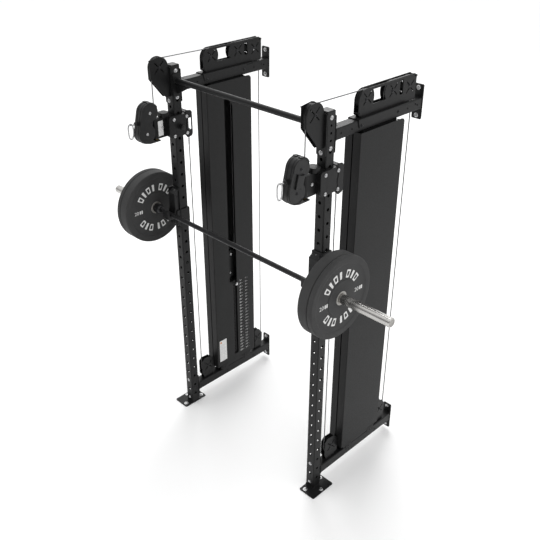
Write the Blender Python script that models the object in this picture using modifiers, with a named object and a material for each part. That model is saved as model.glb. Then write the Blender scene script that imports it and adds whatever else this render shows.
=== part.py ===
"""Wall-mounted cable crossover machine with a rack front, as separate solid pieces.

Metres, +Z up. X runs along the wall, +Y points at the wall, and the user stands at -Y.
Pieces are drawn in rack coordinates, where Y = 0 is the middle of the uprights, and hang
from one empty that puts the origin at the middle of the machine's footprint.
"""
from math import atan2, cos, degrees, pi, radians, sin

import bmesh
import bpy
from mathutils import Matrix, Vector

# Driving dimensions
TOWER_X = 0.571  # middle of each upright
TUBE = 0.060  # side of the square tube of uprights and beams
WALL_THICKNESS = 0.003
UPRIGHT_TOP = 2.380
WALL_Y = 0.734  # back of the wall flanges
GAP = 0.0003  # clearance between pieces that touch
HALF = TUBE / 2

# Holes of the uprights
HOLE_PITCH = 0.075
HOLE_R = 0.009
HOLE_SIDES = 4
SIDE_HOLE_Z = 0.080  # lowest hole in the faces at +-X
FACE_HOLE_Z = 0.0425  # lowest hole in the faces at +-Y
HOLE_COUNT = 30

# Foot plate and beams
PLATE_T = 0.006
FOOT_HALF_LENGTH = 0.090
FOOT_OUTWARD = 0.0875
FOOT_HOLE_R = 0.006
UPPER_BEAM_Z = 2.255
LOWER_BEAM_Z = 0.1175
FLANGE_T = 0.008
FLANGE_HALF_HEIGHT = 0.094
FLANGE_RISE = {"upper": 0.004, "lower": -0.0005}

# Pulleys and the route of the cable: (Y, Z) of each axle
PULLEY_R = 0.048  # radius at the middle of the cable
STACK_PULLEY_R = 0.050
RIM = 0.004  # rim beyond the middle of the cable
GROOVE = 0.0055  # depth of the groove below the middle of the cable
PULLEY_HALF = 0.009
PULLEY_STEPS = 12
AXLE_R = 0.006
BORE_R = 0.0066
CABLE_R = 0.003
SWIVEL_Y = -0.146  # the cable comes down along the swivel axis
TOP_AXLE_Z = 2.378
LOW_AXLE_Z = 0.240
BRACKET_AXLE_Z = 2.370
HOUSING_HALF = 0.016  # half the width over the cheeks of every fixed pulley housing
HOUSING_T = 0.003
HEAD_UPPER = (SWIVEL_Y - PULLEY_R, 2.147)
HEAD_LOWER = (-0.2215, 2.033)
TOP_FRONT = (SWIVEL_Y + PULLEY_R, TOP_AXLE_Z)
BRACKET_FRONT = (0.268, BRACKET_AXLE_Z)
BRACKET_MID = (0.476, BRACKET_AXLE_Z)
BRACKET_REAR = (0.619, BRACKET_AXLE_Z)
LOW_FRONT = (0.139, LOW_AXLE_Z)
LOW_REAR = (0.619, LOW_AXLE_Z)
STACK_Y = 0.378
STACK_PULLEY = (STACK_Y, 1.040)

# Weight stack and shroud
STACK_BOTTOM = 0.230
WEIGHT_T = 0.0254
WEIGHTS_BELOW_TOP = 23
STACK_TOP = STACK_BOTTOM + WEIGHT_T * WEIGHTS_BELOW_TOP
STACK_HALF_X = 0.040
STACK_HALF_Y = 0.1375
ROD_SPACING = 0.100  # each guide rod from the middle of the stack
ROD_R = 0.0095
ROD_BORE_R = 0.0115
SELECTOR_ROD_R = 0.010
SHROUD_HALF_X = 0.050
SHROUD_Y = (0.200, 0.556)
SHROUD_Z = (0.195, 2.2235)
SHEET = 0.002

# Trolley, head and barbell
TROLLEY_Z = 2.030  # height of the pop pin
ANCHOR_Z = 1.945
HEAD_R = 0.055
BALL_Y = -0.2745
BALL_R = 0.013
LINK_Y = -0.311  # middle of the snap link
LINK_HALF = (0.0165, 0.042)
LINK_R = 0.0035
BAR_Y = -0.093
BAR_Z = 1.493
BAR_R = 0.014
SLEEVE_R = 0.025
BAR_HALF_LENGTH = 1.100
DISC_R = 0.225
DISC_X = 0.698
THICK_DISC = 0.061
THIN_DISC = 0.031

MIDDLE_Y = (LINK_Y - LINK_HALF[0] - LINK_R + WALL_Y) / 2  # from the snap links to the wall

COLOURS = {
    "powder_coat": ((0.030, 0.031, 0.033, 1.0), 0.0, 0.45),
    "sheet_coat": ((0.040, 0.041, 0.043, 1.0), 0.0, 0.50),
    "pulley_plastic": ((0.020, 0.020, 0.021, 1.0), 0.0, 0.40),
    "cable_steel": ((0.45, 0.45, 0.46, 1.0), 0.9, 0.35),
    "bright_steel": ((0.62, 0.62, 0.63, 1.0), 1.0, 0.22),
    "black_oxide": ((0.050, 0.050, 0.052, 1.0), 0.8, 0.40),
    "stack_iron": ((0.025, 0.025, 0.026, 1.0), 0.3, 0.50),
    "rubber": ((0.060, 0.062, 0.064, 1.0), 0.0, 0.75),
}


# ---------------------------------------------------------------- modelling helpers
def clear_scene():
    for obj in list(bpy.data.objects):
        bpy.data.objects.remove(obj, do_unlink=True)


def new_collection(name):
    collection = bpy.data.collections.new(name)
    bpy.context.scene.collection.children.link(collection)
    return collection


def material(slot):
    if slot in bpy.data.materials:
        return bpy.data.materials[slot]
    colour, metallic, roughness = COLOURS[slot]
    made = bpy.data.materials.new(slot)
    made.use_nodes = True
    shader = made.node_tree.nodes["Principled BSDF"]
    shader.inputs["Base Color"].default_value = colour
    shader.inputs["Metallic"].default_value = metallic
    shader.inputs["Roughness"].default_value = roughness
    return made


def mesh_piece(mesh):
    """A loose working piece with its normals facing out."""
    work = bmesh.new()
    work.from_mesh(mesh)
    bmesh.ops.remove_doubles(work, verts=work.verts, dist=0.00002)
    bmesh.ops.recalc_face_normals(work, faces=work.faces)
    work.to_mesh(mesh)
    work.free()
    piece = bpy.data.objects.new("working_piece", mesh)
    PARTS.objects.link(piece)
    return piece


def evaluated(obj):
    bpy.context.view_layer.update()
    graph = bpy.context.evaluated_depsgraph_get()
    return bpy.data.meshes.new_from_object(obj.evaluated_get(graph), depsgraph=graph)


def box(x, y, z):
    """A block between the low and high values of x, y and z."""
    low = Vector((min(x), min(y), min(z)))
    high = Vector((max(x), max(y), max(z)))
    place = Matrix.Translation((low + high) / 2) @ Matrix.Diagonal((*(high - low), 1.0))
    work = bmesh.new()
    bmesh.ops.create_cube(work, size=1.0, matrix=place)
    mesh = bpy.data.meshes.new("block")
    work.to_mesh(mesh)
    work.free()
    return mesh_piece(mesh)


def turn_to(axis):
    """The rotation that takes +Z to +X, +Y or +Z."""
    return {
        "x": Matrix.Rotation(pi / 2, 4, "Y"),
        "y": Matrix.Rotation(-pi / 2, 4, "X"),
        "z": Matrix.Identity(4),
    }[axis]


def rod(centre, axis, radius, length, sides=10):
    """A cylinder about its centre."""
    work = bmesh.new()
    bmesh.ops.create_cone(
        work,
        cap_ends=True,
        segments=sides,
        radius1=radius,
        radius2=radius,
        depth=length,
        matrix=Matrix.Translation(centre) @ turn_to(axis) @ Matrix.Rotation(pi / sides, 4, "Z"),
    )
    mesh = bpy.data.meshes.new("rod")
    work.to_mesh(mesh)
    work.free()
    return mesh_piece(mesh)


def outline(points, span, normal="x", holes=()):
    """A flat outline with holes, filled and extruded over span along its normal.

    The two values of each point are (Y, Z) for normal x, (X, Z) for y and (X, Y) for z.
    """
    curve = bpy.data.curves.new("outline", "CURVE")
    curve.dimensions = "2D"
    curve.fill_mode = "BOTH"
    curve.extrude = abs(span[1] - span[0]) / 2
    for loop in (points, *holes):
        spline = curve.splines.new("POLY")
        spline.points.add(len(loop) - 1)
        spline.use_cyclic_u = True
        for point, (a, b) in zip(spline.points, loop):
            point.co = (a, b, 0.0, 1.0)
    middle = sum(span) / 2
    frame = {
        "x": Matrix(((0, 0, 1, middle), (1, 0, 0, 0), (0, 1, 0, 0), (0, 0, 0, 1))),
        "y": Matrix(((1, 0, 0, 0), (0, 0, -1, middle), (0, 1, 0, 0), (0, 0, 0, 1))),
        "z": Matrix(((1, 0, 0, 0), (0, 1, 0, 0), (0, 0, 1, middle), (0, 0, 0, 1))),
    }[normal]
    drawn = bpy.data.objects.new("outline", curve)
    PARTS.objects.link(drawn)
    mesh = evaluated(drawn)
    bpy.data.objects.remove(drawn)
    mesh.transform(frame)
    return mesh_piece(mesh)


def turned(profile, centre, axis, steps, closed):
    """A profile of (radius, along) turned about an axis; closed for a piece with a bore."""
    count = len(profile)
    mesh = bpy.data.meshes.new("profile")
    edges = [(i, i + 1) for i in range(count - 1)]
    if closed:
        edges.append((count - 1, 0))
    mesh.from_pydata([(radius, 0.0, along) for radius, along in profile], edges, [])
    drawn = bpy.data.objects.new("profile", mesh)
    PARTS.objects.link(drawn)
    screw = drawn.modifiers.new("turn", "SCREW")
    screw.steps = steps
    screw.render_steps = steps
    screw.use_merge_vertices = True
    screw.merge_threshold = 0.00002
    mesh = evaluated(drawn)
    bpy.data.objects.remove(drawn)
    mesh.transform(Matrix.Translation(centre) @ turn_to(axis))
    return mesh_piece(mesh)


def wire(points, radius, cyclic=False):
    """A round wire along the points."""
    curve = bpy.data.curves.new("wire", "CURVE")
    curve.dimensions = "3D"
    curve.bevel_depth = radius
    curve.bevel_resolution = 2
    curve.use_fill_caps = not cyclic
    spline = curve.splines.new("POLY")
    spline.points.add(len(points) - 1)
    spline.use_cyclic_u = cyclic
    for point, place in zip(spline.points, points):
        point.co = (*place, 1.0)
    drawn = bpy.data.objects.new("wire", curve)
    PARTS.objects.link(drawn)
    mesh = evaluated(drawn)
    bpy.data.objects.remove(drawn)
    return mesh_piece(mesh)


def gathered(pieces):
    """Pieces that don't touch, gathered into one working piece."""
    work = bmesh.new()
    for piece in pieces:
        work.from_mesh(piece.data)
        bpy.data.objects.remove(piece)
    mesh = bpy.data.meshes.new("gathered")
    work.to_mesh(mesh)
    work.free()
    return mesh_piece(mesh)


def combine(base, tool, operation):
    modifier = base.modifiers.new(operation.lower(), "BOOLEAN")
    modifier.operation = operation
    modifier.solver = "EXACT"
    modifier.object = tool
    mesh = evaluated(base)
    base.modifiers.clear()
    base.data = mesh
    bpy.data.objects.remove(tool)
    return base


def united(*pieces):
    base = pieces[0]
    for piece in pieces[1:]:
        combine(base, piece, "UNION")
    return base


def cut(base, *tools):
    return combine(base, gathered(tools), "DIFFERENCE")


def finish(piece, name, slot, origin=(0.0, 0.0, 0.0), parent=None):
    """Name a piece, put its origin on its joint's axis and hang it from its parent."""
    work = bmesh.new()
    work.from_mesh(piece.data)
    bmesh.ops.remove_doubles(work, verts=work.verts, dist=0.00002)
    bmesh.ops.dissolve_limit(work, angle_limit=radians(0.2), verts=work.verts, edges=work.edges)
    bmesh.ops.triangulate(work, faces=work.faces)
    work.to_mesh(piece.data)
    work.free()
    piece.name = name
    piece.data.name = name
    piece.data.transform(Matrix.Translation(-Vector(origin)))
    piece.data.materials.clear()
    piece.data.materials.append(material(slot))
    piece.data.set_sharp_from_angle(angle=radians(40))
    holder = parent or MACHINE
    piece.parent = holder
    held_at = Vector(holder["at"])
    piece.location = Vector(origin) - held_at
    piece["at"] = tuple(origin)
    return piece


def arc(centre, radius, start, end, count):
    """Points on an arc, angles in degrees from the first axis towards the second."""
    turns = [radians(start + (end - start) * i / count) for i in range(count + 1)]
    return [(centre[0] + radius * cos(t), centre[1] + radius * sin(t)) for t in turns]


def rounded(low, high, radius, count=2):
    """A rectangle with round corners."""
    corners = ((high, 0), ((low[0], high[1]), 90), (low, 180), ((high[0], low[1]), 270))
    points = []
    for (a, b), turn in corners:
        inner_a = a + (radius if a == low[0] else -radius)
        inner_b = b + (radius if b == low[1] else -radius)
        points += arc((inner_a, inner_b), radius, turn, turn + 90, count)
    return points


def square_tube(centre, span, normal):
    outer = rounded(
        (centre[0] - HALF, centre[1] - HALF), (centre[0] + HALF, centre[1] + HALF), 0.006
    )
    inside = HALF - WALL_THICKNESS
    inner = rounded(
        (centre[0] - inside, centre[1] - inside), (centre[0] + inside, centre[1] + inside), 0.003, 1
    )
    return outline(outer, span, normal, [inner])


def cheeks(points, half, thickness, middle, holes=()):
    """Two equal flat plates either side of the middle plane, as two working pieces."""
    return [
        outline(points, (middle - half, middle - half + thickness), "x", holes),
        outline(points, (middle + half - thickness, middle + half), "x", holes),
    ]


def axle(middle, place, half):
    return rod((middle, *place), "x", AXLE_R, 2 * half - 0.001)


# ---------------------------------------------------------------- frame
def make_upright(name, middle):
    tube = square_tube((middle, 0.0), (PLATE_T + GAP, UPRIGHT_TOP - 0.002), "z")
    lid = outline(
        rounded((middle - HALF, -HALF), (middle + HALF, HALF), 0.006),
        (UPRIGHT_TOP - 0.004, UPRIGHT_TOP),
        "z",
    )
    body = united(tube, lid)
    drills = []
    for i in range(HOLE_COUNT):
        side_z = SIDE_HOLE_Z + HOLE_PITCH * i
        face_z = FACE_HOLE_Z + HOLE_PITCH * i
        drills.append(rod((middle, 0.0, side_z), "x", HOLE_R, 0.1, HOLE_SIDES))
        drills.append(rod((middle, 0.0, face_z), "y", HOLE_R, 0.1, HOLE_SIDES))
    finish(cut(body, *drills), name, "powder_coat")


def make_foot_plate(name, middle, side):
    inner = middle - side * HALF
    outer = middle + side * FOOT_OUTWARD
    low = (min(inner, outer), -FOOT_HALF_LENGTH)
    high = (max(inner, outer), FOOT_HALF_LENGTH)
    plate = outline(rounded(low, high, 0.010), (0.0, PLATE_T), "z")
    places = [(middle, -0.068), (middle, 0.068), (outer - side * 0.018, 0.0)]
    holes = [rod((x, y, 0.0), "z", FOOT_HOLE_R, 0.05, 8) for x, y in places]
    finish(cut(plate, *holes), name, "powder_coat")


def beam_blank(middle, height, level):
    """A square tube with a flange plate on the upright and one on the wall."""
    front = (HALF + GAP, HALF + GAP + PLATE_T)
    rear = (WALL_Y - FLANGE_T, WALL_Y)
    rise = FLANGE_RISE[level]
    low = (middle - HALF, height + rise - FLANGE_HALF_HEIGHT)
    high = (middle + HALF, height + rise + FLANGE_HALF_HEIGHT)
    tube = square_tube((middle, height), (front[1] - 0.002, rear[0] + 0.002), "y")
    front_plate = outline(rounded(low, high, 0.008), front, "y")
    rear_plate = outline(rounded(low, high, 0.008), rear, "y")
    return united(tube, front_plate, rear_plate)


def make_upper_beam(name, middle):
    beam = beam_blank(middle, UPPER_BEAM_Z, "upper")
    strands = (0.317, 0.428, BRACKET_REAR[0] + PULLEY_R)
    passages = [rod((middle, y, UPPER_BEAM_Z), "z", 0.009, 0.1, 8) for y in strands]
    finish(cut(beam, *passages), name, "powder_coat")


def low_housing(middle, points, place):
    """Two close cheeks that hold a low pulley on top of the lower beam."""
    return united(
        axle(middle, place, HOUSING_HALF), *cheeks(points, HOUSING_HALF, HOUSING_T, middle)
    )


def make_lower_beam(name, middle):
    beam = beam_blank(middle, LOWER_BEAM_Z, "lower")
    top = LOWER_BEAM_Z + HALF
    drain = rod((middle, 0.45, LOWER_BEAM_Z - HALF), "z", 0.008, 0.02, 8)
    beam = cut(beam, drain)
    front = [
        (0.096, top - 0.0024),
        (0.175, top - 0.0024),
        (0.175, 0.1645),
        (0.198, 0.164),
        (0.198, 0.262),
        (0.160, 0.305),
        (0.104, 0.309),
        (0.082, 0.290),
        (0.082, 0.190),
        (0.096, 0.166),
    ]
    rear = [
        (0.597, top - 0.0024),
        (0.653, top - 0.0024),
        (0.664, 0.190),
        (0.667, 0.262),
        (0.634, 0.308),
        (0.592, 0.309),
        (0.5915, 0.248),
        (0.595, 0.190),
    ]
    united(beam, low_housing(middle, front, LOW_FRONT), low_housing(middle, rear, LOW_REAR))
    finish(beam, name, "powder_coat")


def make_top_bracket(name, middle):
    """A saddle over the upper beam that carries two close cheeks with a window and a slot."""
    seat = UPPER_BEAM_Z + HALF + GAP
    plate = [
        (0.236, seat + 0.002),
        (0.228, 2.296),
        (0.213, 2.304),
        *arc(BRACKET_FRONT, 0.0545, 180, 98, 5),
        (0.658, 2.4246),
        (0.6755, 2.409),
        (0.675, 2.298),
        (0.664, seat + 0.0022),
    ]
    window = [
        *arc((0.266, 2.375), 0.063, -35, 35, 4),
        *arc((0.476, 2.375), 0.063, 145, 215, 4),
    ]
    slot = rounded((0.537, 2.336), (0.5635, 2.410), 0.008, 2)
    plates = cheeks(plate, HOUSING_HALF, HOUSING_T, middle, (window, slot))
    side = [(0.206, 2.245), (0.530, 2.2452), (0.535, 2.2885), (0.197, 2.2888), (0.196, 2.281)]
    thickness = 0.0045
    sides = cheeks(side, HALF + GAP + thickness, thickness, middle)
    top = box((middle - 0.0342, middle + 0.0342), (0.1975, 0.600), (seat, seat + 0.0045))
    strands = [rod((middle, y, seat), "z", 0.009, 0.03, 8) for y in (0.317, 0.428)]
    top = cut(top, *strands)
    pins = [axle(middle, place, HOUSING_HALF) for place in (BRACKET_FRONT, BRACKET_MID, BRACKET_REAR)]
    spacer = rod((middle, 0.549, 2.307), "x", 0.006, 2 * HOUSING_HALF - 0.001, 8)
    body = united(top, *sides, *plates, *pins, spacer)
    finish(body, name, "powder_coat")


def make_front_housing(name, middle):
    """Two close cheeks, closed in front by a band, on a plate against the upright's head."""
    face = -HALF - GAP
    points = [
        (face - 0.001, 2.206),
        (-0.066, 2.2065),
        (-0.0746, 2.216),
        (-0.1555, 2.3185),
        *arc(TOP_FRONT, 0.058, 180, 0, 8),
        (face - 0.001, 2.370),
    ]
    plates = cheeks(points, HOUSING_HALF, HOUSING_T, middle)
    band = outline(
        [
            (-0.1552, 2.326),
            *arc(TOP_FRONT, 0.0570, 180, 110, 4),
            *arc(TOP_FRONT, 0.0545, 110, 180, 4),
            (-0.1527, 2.3262),
        ],
        (middle - HOUSING_HALF + 0.002, middle + HOUSING_HALF - 0.002),
        "x",
    )
    back = outline(
        rounded((middle - HALF, 2.162), (middle + HALF, 2.372), 0.008), (face - 0.005, face), "y"
    )
    body = united(back, *plates, axle(middle, TOP_FRONT, HOUSING_HALF), band)
    finish(body, name, "powder_coat")


# ---------------------------------------------------------------- pulleys and cable
def make_pulley(name, middle, place, pitch_radius=PULLEY_R, parent=None):
    rim = pitch_radius + RIM
    profile = [
        (BORE_R, -PULLEY_HALF),
        (rim, -PULLEY_HALF),
        (pitch_radius - GROOVE, 0.0),
        (rim, PULLEY_HALF),
        (BORE_R, PULLEY_HALF),
    ]
    wheel = turned(profile, (middle, *place), "x", PULLEY_STEPS, closed=True)
    finish(wheel, name, "pulley_plastic", (middle, *place), parent)


def cable_route():
    """(Y, Z) of the cable, from the ball stop round every pulley to the trolley."""
    quarter = 4
    route = [(BALL_Y + BALL_R + GAP, HEAD_UPPER[1] - PULLEY_R)]
    route += arc(HEAD_UPPER, PULLEY_R, -90, 0, quarter)
    fall = degrees(atan2(BRACKET_FRONT[1] - TOP_FRONT[1], BRACKET_FRONT[0] - TOP_FRONT[0]))
    route += arc(TOP_FRONT, PULLEY_R, 180, 90 + fall, quarter)
    route += arc(BRACKET_FRONT, PULLEY_R, 90 + fall, 0, quarter)
    route += arc(STACK_PULLEY, STACK_PULLEY_R, 180, 360, 2 * quarter)
    route += arc(BRACKET_MID, PULLEY_R, 180, 90, quarter)
    route += arc(BRACKET_REAR, PULLEY_R, 90, 0, quarter)
    route += arc(LOW_REAR, PULLEY_R, 0, -90, quarter)
    route += arc(LOW_FRONT, PULLEY_R, -90, -180, quarter)
    route.append((LOW_FRONT[0] - PULLEY_R, ANCHOR_Z - GAP))
    return route


def make_cable(name, middle):
    points = [(middle, y, z) for y, z in cable_route()]
    finish(wire(points, CABLE_R), name, "cable_steel")


# ---------------------------------------------------------------- weight stack
def make_shroud(name, middle, outward, slotted):
    """Half of the folded cover: a side panel with a half front and a half rear wall."""
    (front, rear), (bottom, top) = SHROUD_Y, SHROUD_Z
    points = [
        (front, bottom),
        (rear, bottom),
        *arc((rear - 0.028, top - 0.028), 0.028, 0, 90, 2),
        (front, top),
    ]
    left, narrow_left, right = 0.332, 0.3625, 0.3975
    slot = [
        (right, 0.245),
        (right, 2.050),
        *arc((left, 2.050), right - left, 20, 90, 4),
        (left, 0.858),
        (narrow_left, 0.820),
        (narrow_left, 0.255),
        (narrow_left + 0.008, 0.238),
        (right - 0.008, 0.238),
    ]
    outer = middle + outward * SHROUD_HALF_X
    panel = outline(
        points, (outer, outer - outward * SHEET), "x", (slot,) if slotted else ()
    )
    seam = middle + outward * 0.0004
    face = (seam, outer - outward * SHEET / 2)
    wall_z = (bottom + 0.020, top)
    front_wall = box(face, (front, front + SHEET), wall_z)
    rear_wall = box(face, (rear - SHEET, rear), (bottom + 0.020, top - 0.028))
    tab_x = (outer - outward * 0.0002, outer - outward * (SHEET - 0.0002))
    tab_z = (LOWER_BEAM_Z + HALF + 0.003, bottom + 0.004)
    tabs = [box(tab_x, span, tab_z) for span in ((0.245, 0.295), (0.455, 0.515))]
    finish(united(panel, front_wall, rear_wall, *tabs), name, "sheet_coat")


def guide_places():
    return [STACK_Y - ROD_SPACING, STACK_Y + ROD_SPACING]


def make_guide_rods(name, middle):
    """Guide rods between a channel on the lower beam and a bar under the upper beam."""
    low = LOWER_BEAM_Z + HALF + GAP
    sole = (0.2115, STACK_BOTTOM - 0.012)
    span = (STACK_Y - 0.135, STACK_Y + 0.135)
    legs = [
        box((middle + s * 0.022, middle + s * 0.029), span, (low, sole[0] + 0.001)) for s in (-1, 1)
    ]
    channel = united(box((middle - 0.046, middle + 0.046), span, sole), *legs)
    under = UPPER_BEAM_Z - HALF - GAP
    bar = box((middle - 0.030, middle + 0.030), span, (under - 0.018, under))
    strands = [
        box((middle - 0.008, middle + 0.008), (y - 0.009, y + 0.009), (under - 0.1, under + 0.1))
        for y in (0.318, 0.428)
    ]
    bar = cut(bar, *strands)
    length = under - 0.009 - sole[0] - 0.004
    rods = []
    for y in guide_places():
        rods.append(rod((middle, y, sole[0] + 0.004 + length / 2), "z", ROD_R, length, 10))
        rods.append(rod((middle, y, STACK_BOTTOM - 0.0073), "z", 0.020, 0.014, 12))
    finish(united(channel, bar, *rods), name, "bright_steel")


def make_weight_stack(name, middle):
    """The plates that stay down, as one stack with a groove at each joint."""
    x = (middle - STACK_HALF_X, middle + STACK_HALF_X)
    y = (STACK_Y - STACK_HALF_Y, STACK_Y + STACK_HALF_Y)
    block = box(x, y, (STACK_BOTTOM, STACK_TOP - GAP))
    holes = [rod((middle, place, 0.5), "z", ROD_BORE_R, 1.0, 10) for place in guide_places()]
    holes.append(rod((middle, STACK_Y, 0.5), "z", SELECTOR_ROD_R + 0.0015, 1.0, 10))
    finish(cut(block, *holes), name, "stack_iron")


def make_selector(name, middle, side):
    """The top plate with the selector rod under it and the pulley yoke on it."""
    x = (middle - STACK_HALF_X, middle + STACK_HALF_X)
    y = (STACK_Y - STACK_HALF_Y, STACK_Y + STACK_HALF_Y)
    plate_top = STACK_TOP + WEIGHT_T
    plate = box(x, y, (STACK_TOP + GAP, plate_top))
    holes = [rod((middle, place, STACK_TOP), "z", ROD_BORE_R, 0.2, 10) for place in guide_places()]
    plate = cut(plate, *holes)
    rod_low = STACK_BOTTOM + 0.008
    stem = rod(
        (middle, STACK_Y, (rod_low + STACK_TOP + 0.010) / 2),
        "z",
        SELECTOR_ROD_R,
        STACK_TOP + 0.010 - rod_low,
    )
    block = box(
        (middle - 0.016, middle + 0.016),
        (STACK_Y - 0.022, STACK_Y + 0.022),
        (plate_top - 0.002, 0.930),
    )
    axle_z = STACK_PULLEY[1]
    cheek = [
        (STACK_Y - 0.024, 0.900),
        (STACK_Y + 0.024, 0.900),
        *arc((STACK_Y, axle_z + 0.010), 0.022, 0, 180, 4),
    ]
    plates = cheeks(cheek, 0.020, 0.005, middle)
    pin = axle(middle, STACK_PULLEY, 0.020)
    body = united(plate, stem, block, *plates, pin)
    bore = rod((middle - side * 0.030, STACK_Y, selector_pin_z()), "x", 0.0057, 0.080, 8)
    body = finish(cut(body, bore), name, "stack_iron", (middle, STACK_Y, STACK_TOP))
    return body


def selector_pin_z():
    return STACK_TOP + WEIGHT_T / 2


def make_selector_pin(name, middle, side, parent):
    z = selector_pin_z()
    shaft = rod((middle - side * 0.0285, STACK_Y, z), "x", 0.005, 0.073, 8)
    head = rod((middle - side * 0.0665, STACK_Y, z), "x", 0.011, 0.017, 12)
    finish(
        united(head, shaft), name, "bright_steel", (middle - side * 0.065, STACK_Y, z), parent
    )


# ---------------------------------------------------------------- trolley and head
def make_trolley(name, middle, side):
    """The sleeve on the upright, with its front arm, swivel barrel and rear bracket."""
    clear = HALF + 0.0013
    wide = 0.0465
    z = (1.974, 2.100)
    ring = rounded((middle - wide, -0.040), (middle + wide, 0.040), 0.006)
    bore = rounded((middle - clear, -clear), (middle + clear, clear), 0.004, 1)
    sleeve = outline(ring, z, "z", [bore])
    pieces = [sleeve]
    for s in (-1, 1):
        inner, outer = middle + s * 0.032, middle + s * wide
        wing = [
            (-0.038, z[0] + 0.001),
            (-0.070, z[0] + 0.001),
            (-0.080, z[0] + 0.010),
            (-0.080, z[1] - 0.010),
            (-0.070, z[1] - 0.001),
            (-0.038, z[1] - 0.001),
        ]
        ear = [
            (0.034, 1.962),
            (0.053, 1.951),
            (0.080, 1.958),
            (0.086, 1.970),
            (0.086, 2.098),
            (0.076, 2.110),
            (0.034, 2.117),
        ]
        pieces.append(outline(wing, (inner, outer - s * 0.0005), "x"))
        pieces.append(outline(ear, (outer - s * 0.007, outer - s * 0.0005), "x"))
    arm_z = (1.984, 2.098)
    pieces.append(box((middle - 0.033, middle + 0.033), (-0.080, -0.038), arm_z))
    pieces.append(box((middle - 0.0175, middle + 0.0175), (SWIVEL_Y, -0.078), arm_z))
    pieces.append(
        rod((middle, SWIVEL_Y, sum(arm_z) / 2), "z", 0.0195, arm_z[1] - arm_z[0] - 0.0005, 14)
    )
    collar = rounded((middle - 0.030, -0.112), (middle + 0.030, -0.055), 0.014, 2)
    pieces.append(outline(collar, (2.090, 2.138), "z"))
    pieces.append(box((middle - 0.041, middle + 0.041), (0.052, 0.082), (1.964, 1.980)))
    pieces.append(box((middle - 0.041, middle + 0.041), (0.052, 0.082), (2.085, 2.100)))
    anchor_y = LOW_FRONT[0] - PULLEY_R
    pieces.append(rod((middle, anchor_y, ANCHOR_Z + 0.020), "z", 0.0095, 0.040, 10))
    pieces.append(rod((middle - side * 0.0505, 0.0, TROLLEY_Z), "x", 0.015, 0.013, 12))
    body = united(*pieces)
    pivot = rod((middle, SWIVEL_Y, 2.04), "z", BORE_R, 0.2, 10)
    pop = rod((middle - side * 0.045, 0.0, TROLLEY_Z), "x", BORE_R, 0.040, 10)
    return finish(cut(body, pivot, pop), name, "powder_coat", (middle, 0.0, TROLLEY_Z))


def make_pop_pin(name, middle, side, parent):
    """The sprung pin of the trolley; its nose stops just short of the upright."""
    shaft = rod((middle - side * 0.0465, 0.0, TROLLEY_Z), "x", AXLE_R, 0.030, 10)
    knob = rod((middle - side * 0.0675, 0.0, TROLLEY_Z), "x", 0.014, 0.019, 12)
    finish(
        united(knob, shaft), name, "black_oxide", (middle - side * 0.060, 0.0, TROLLEY_Z), parent
    )


def head_outline():
    """The cover round the two pulleys: straight in front, with two pivot lugs behind."""
    across = HEAD_UPPER[1] - HEAD_LOWER[1]
    lean = degrees(atan2(HEAD_UPPER[0] - HEAD_LOWER[0], across))
    upper = arc(HEAD_UPPER, HEAD_R, -42, 180 - lean, 9)
    lower_front = arc(HEAD_LOWER, HEAD_R, 180 - lean, 270, 5)
    lower_lug = [(-0.205, 1.9720), (-0.132, 1.9720), (-0.132, 1.9800), (-0.171, 1.9804)]
    lower_rear = arc(HEAD_LOWER, HEAD_R, -50, 45, 4)
    upper_lug = [
        (-0.178, 2.0900),
        (-0.172, 2.1015),
        (-0.132, 2.1020),
        (-0.132, 2.1090),
        (-0.158, 2.1095),
    ]
    return upper + lower_front + lower_lug + lower_rear + upper_lug


def make_swivel_head(name, middle, parent):
    half = 0.027
    plates = cheeks(head_outline(), half, 0.004, middle)
    pins = [axle(middle, place, half) for place in (HEAD_UPPER, HEAD_LOWER)]
    lugs = [
        box((middle - 0.025, middle + 0.025), (-0.156, -0.1325), (2.1022, 2.1088)),
        box((middle - 0.025, middle + 0.025), (-0.190, -0.1325), (1.9725, 1.9795)),
    ]
    pivot = rod((middle, SWIVEL_Y, 2.041), "z", AXLE_R, 0.146, 10)
    body = united(pivot, *lugs, *plates, *pins)
    return finish(body, name, "powder_coat", (middle, SWIVEL_Y, 2.041), parent)


def make_carabiner(name, middle, parent):
    """The ball stop on the cable's end with the snap link hanging from it."""
    z = HEAD_UPPER[1] - PULLEY_R
    profile = [
        (0.0, BALL_R),
        *[(BALL_R * cos(t), BALL_R * sin(t)) for t in (radians(a) for a in range(60, -90, -30))],
        (0.0, -BALL_R),
    ]
    ball = turned(profile, (middle, BALL_Y, z), "y", 12, closed=False)
    reach = BALL_Y - BALL_R / 2, LINK_Y + LINK_HALF[0] / 2
    tang = rod((middle, sum(reach) / 2, z), "y", 0.0045, abs(reach[0] - reach[1]) + 0.004, 8)
    half_y, half_z = LINK_HALF
    middle_z = z + 0.006 - half_z
    oval = []
    for i in range(14):
        turn = 2 * pi * i / 14
        oval.append((middle, LINK_Y + half_y * cos(turn), middle_z + half_z * sin(turn)))
    link = wire(oval, LINK_R, cyclic=True)
    finish(united(ball, tang, link), name, "bright_steel", (middle, BALL_Y, z), parent)


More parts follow.
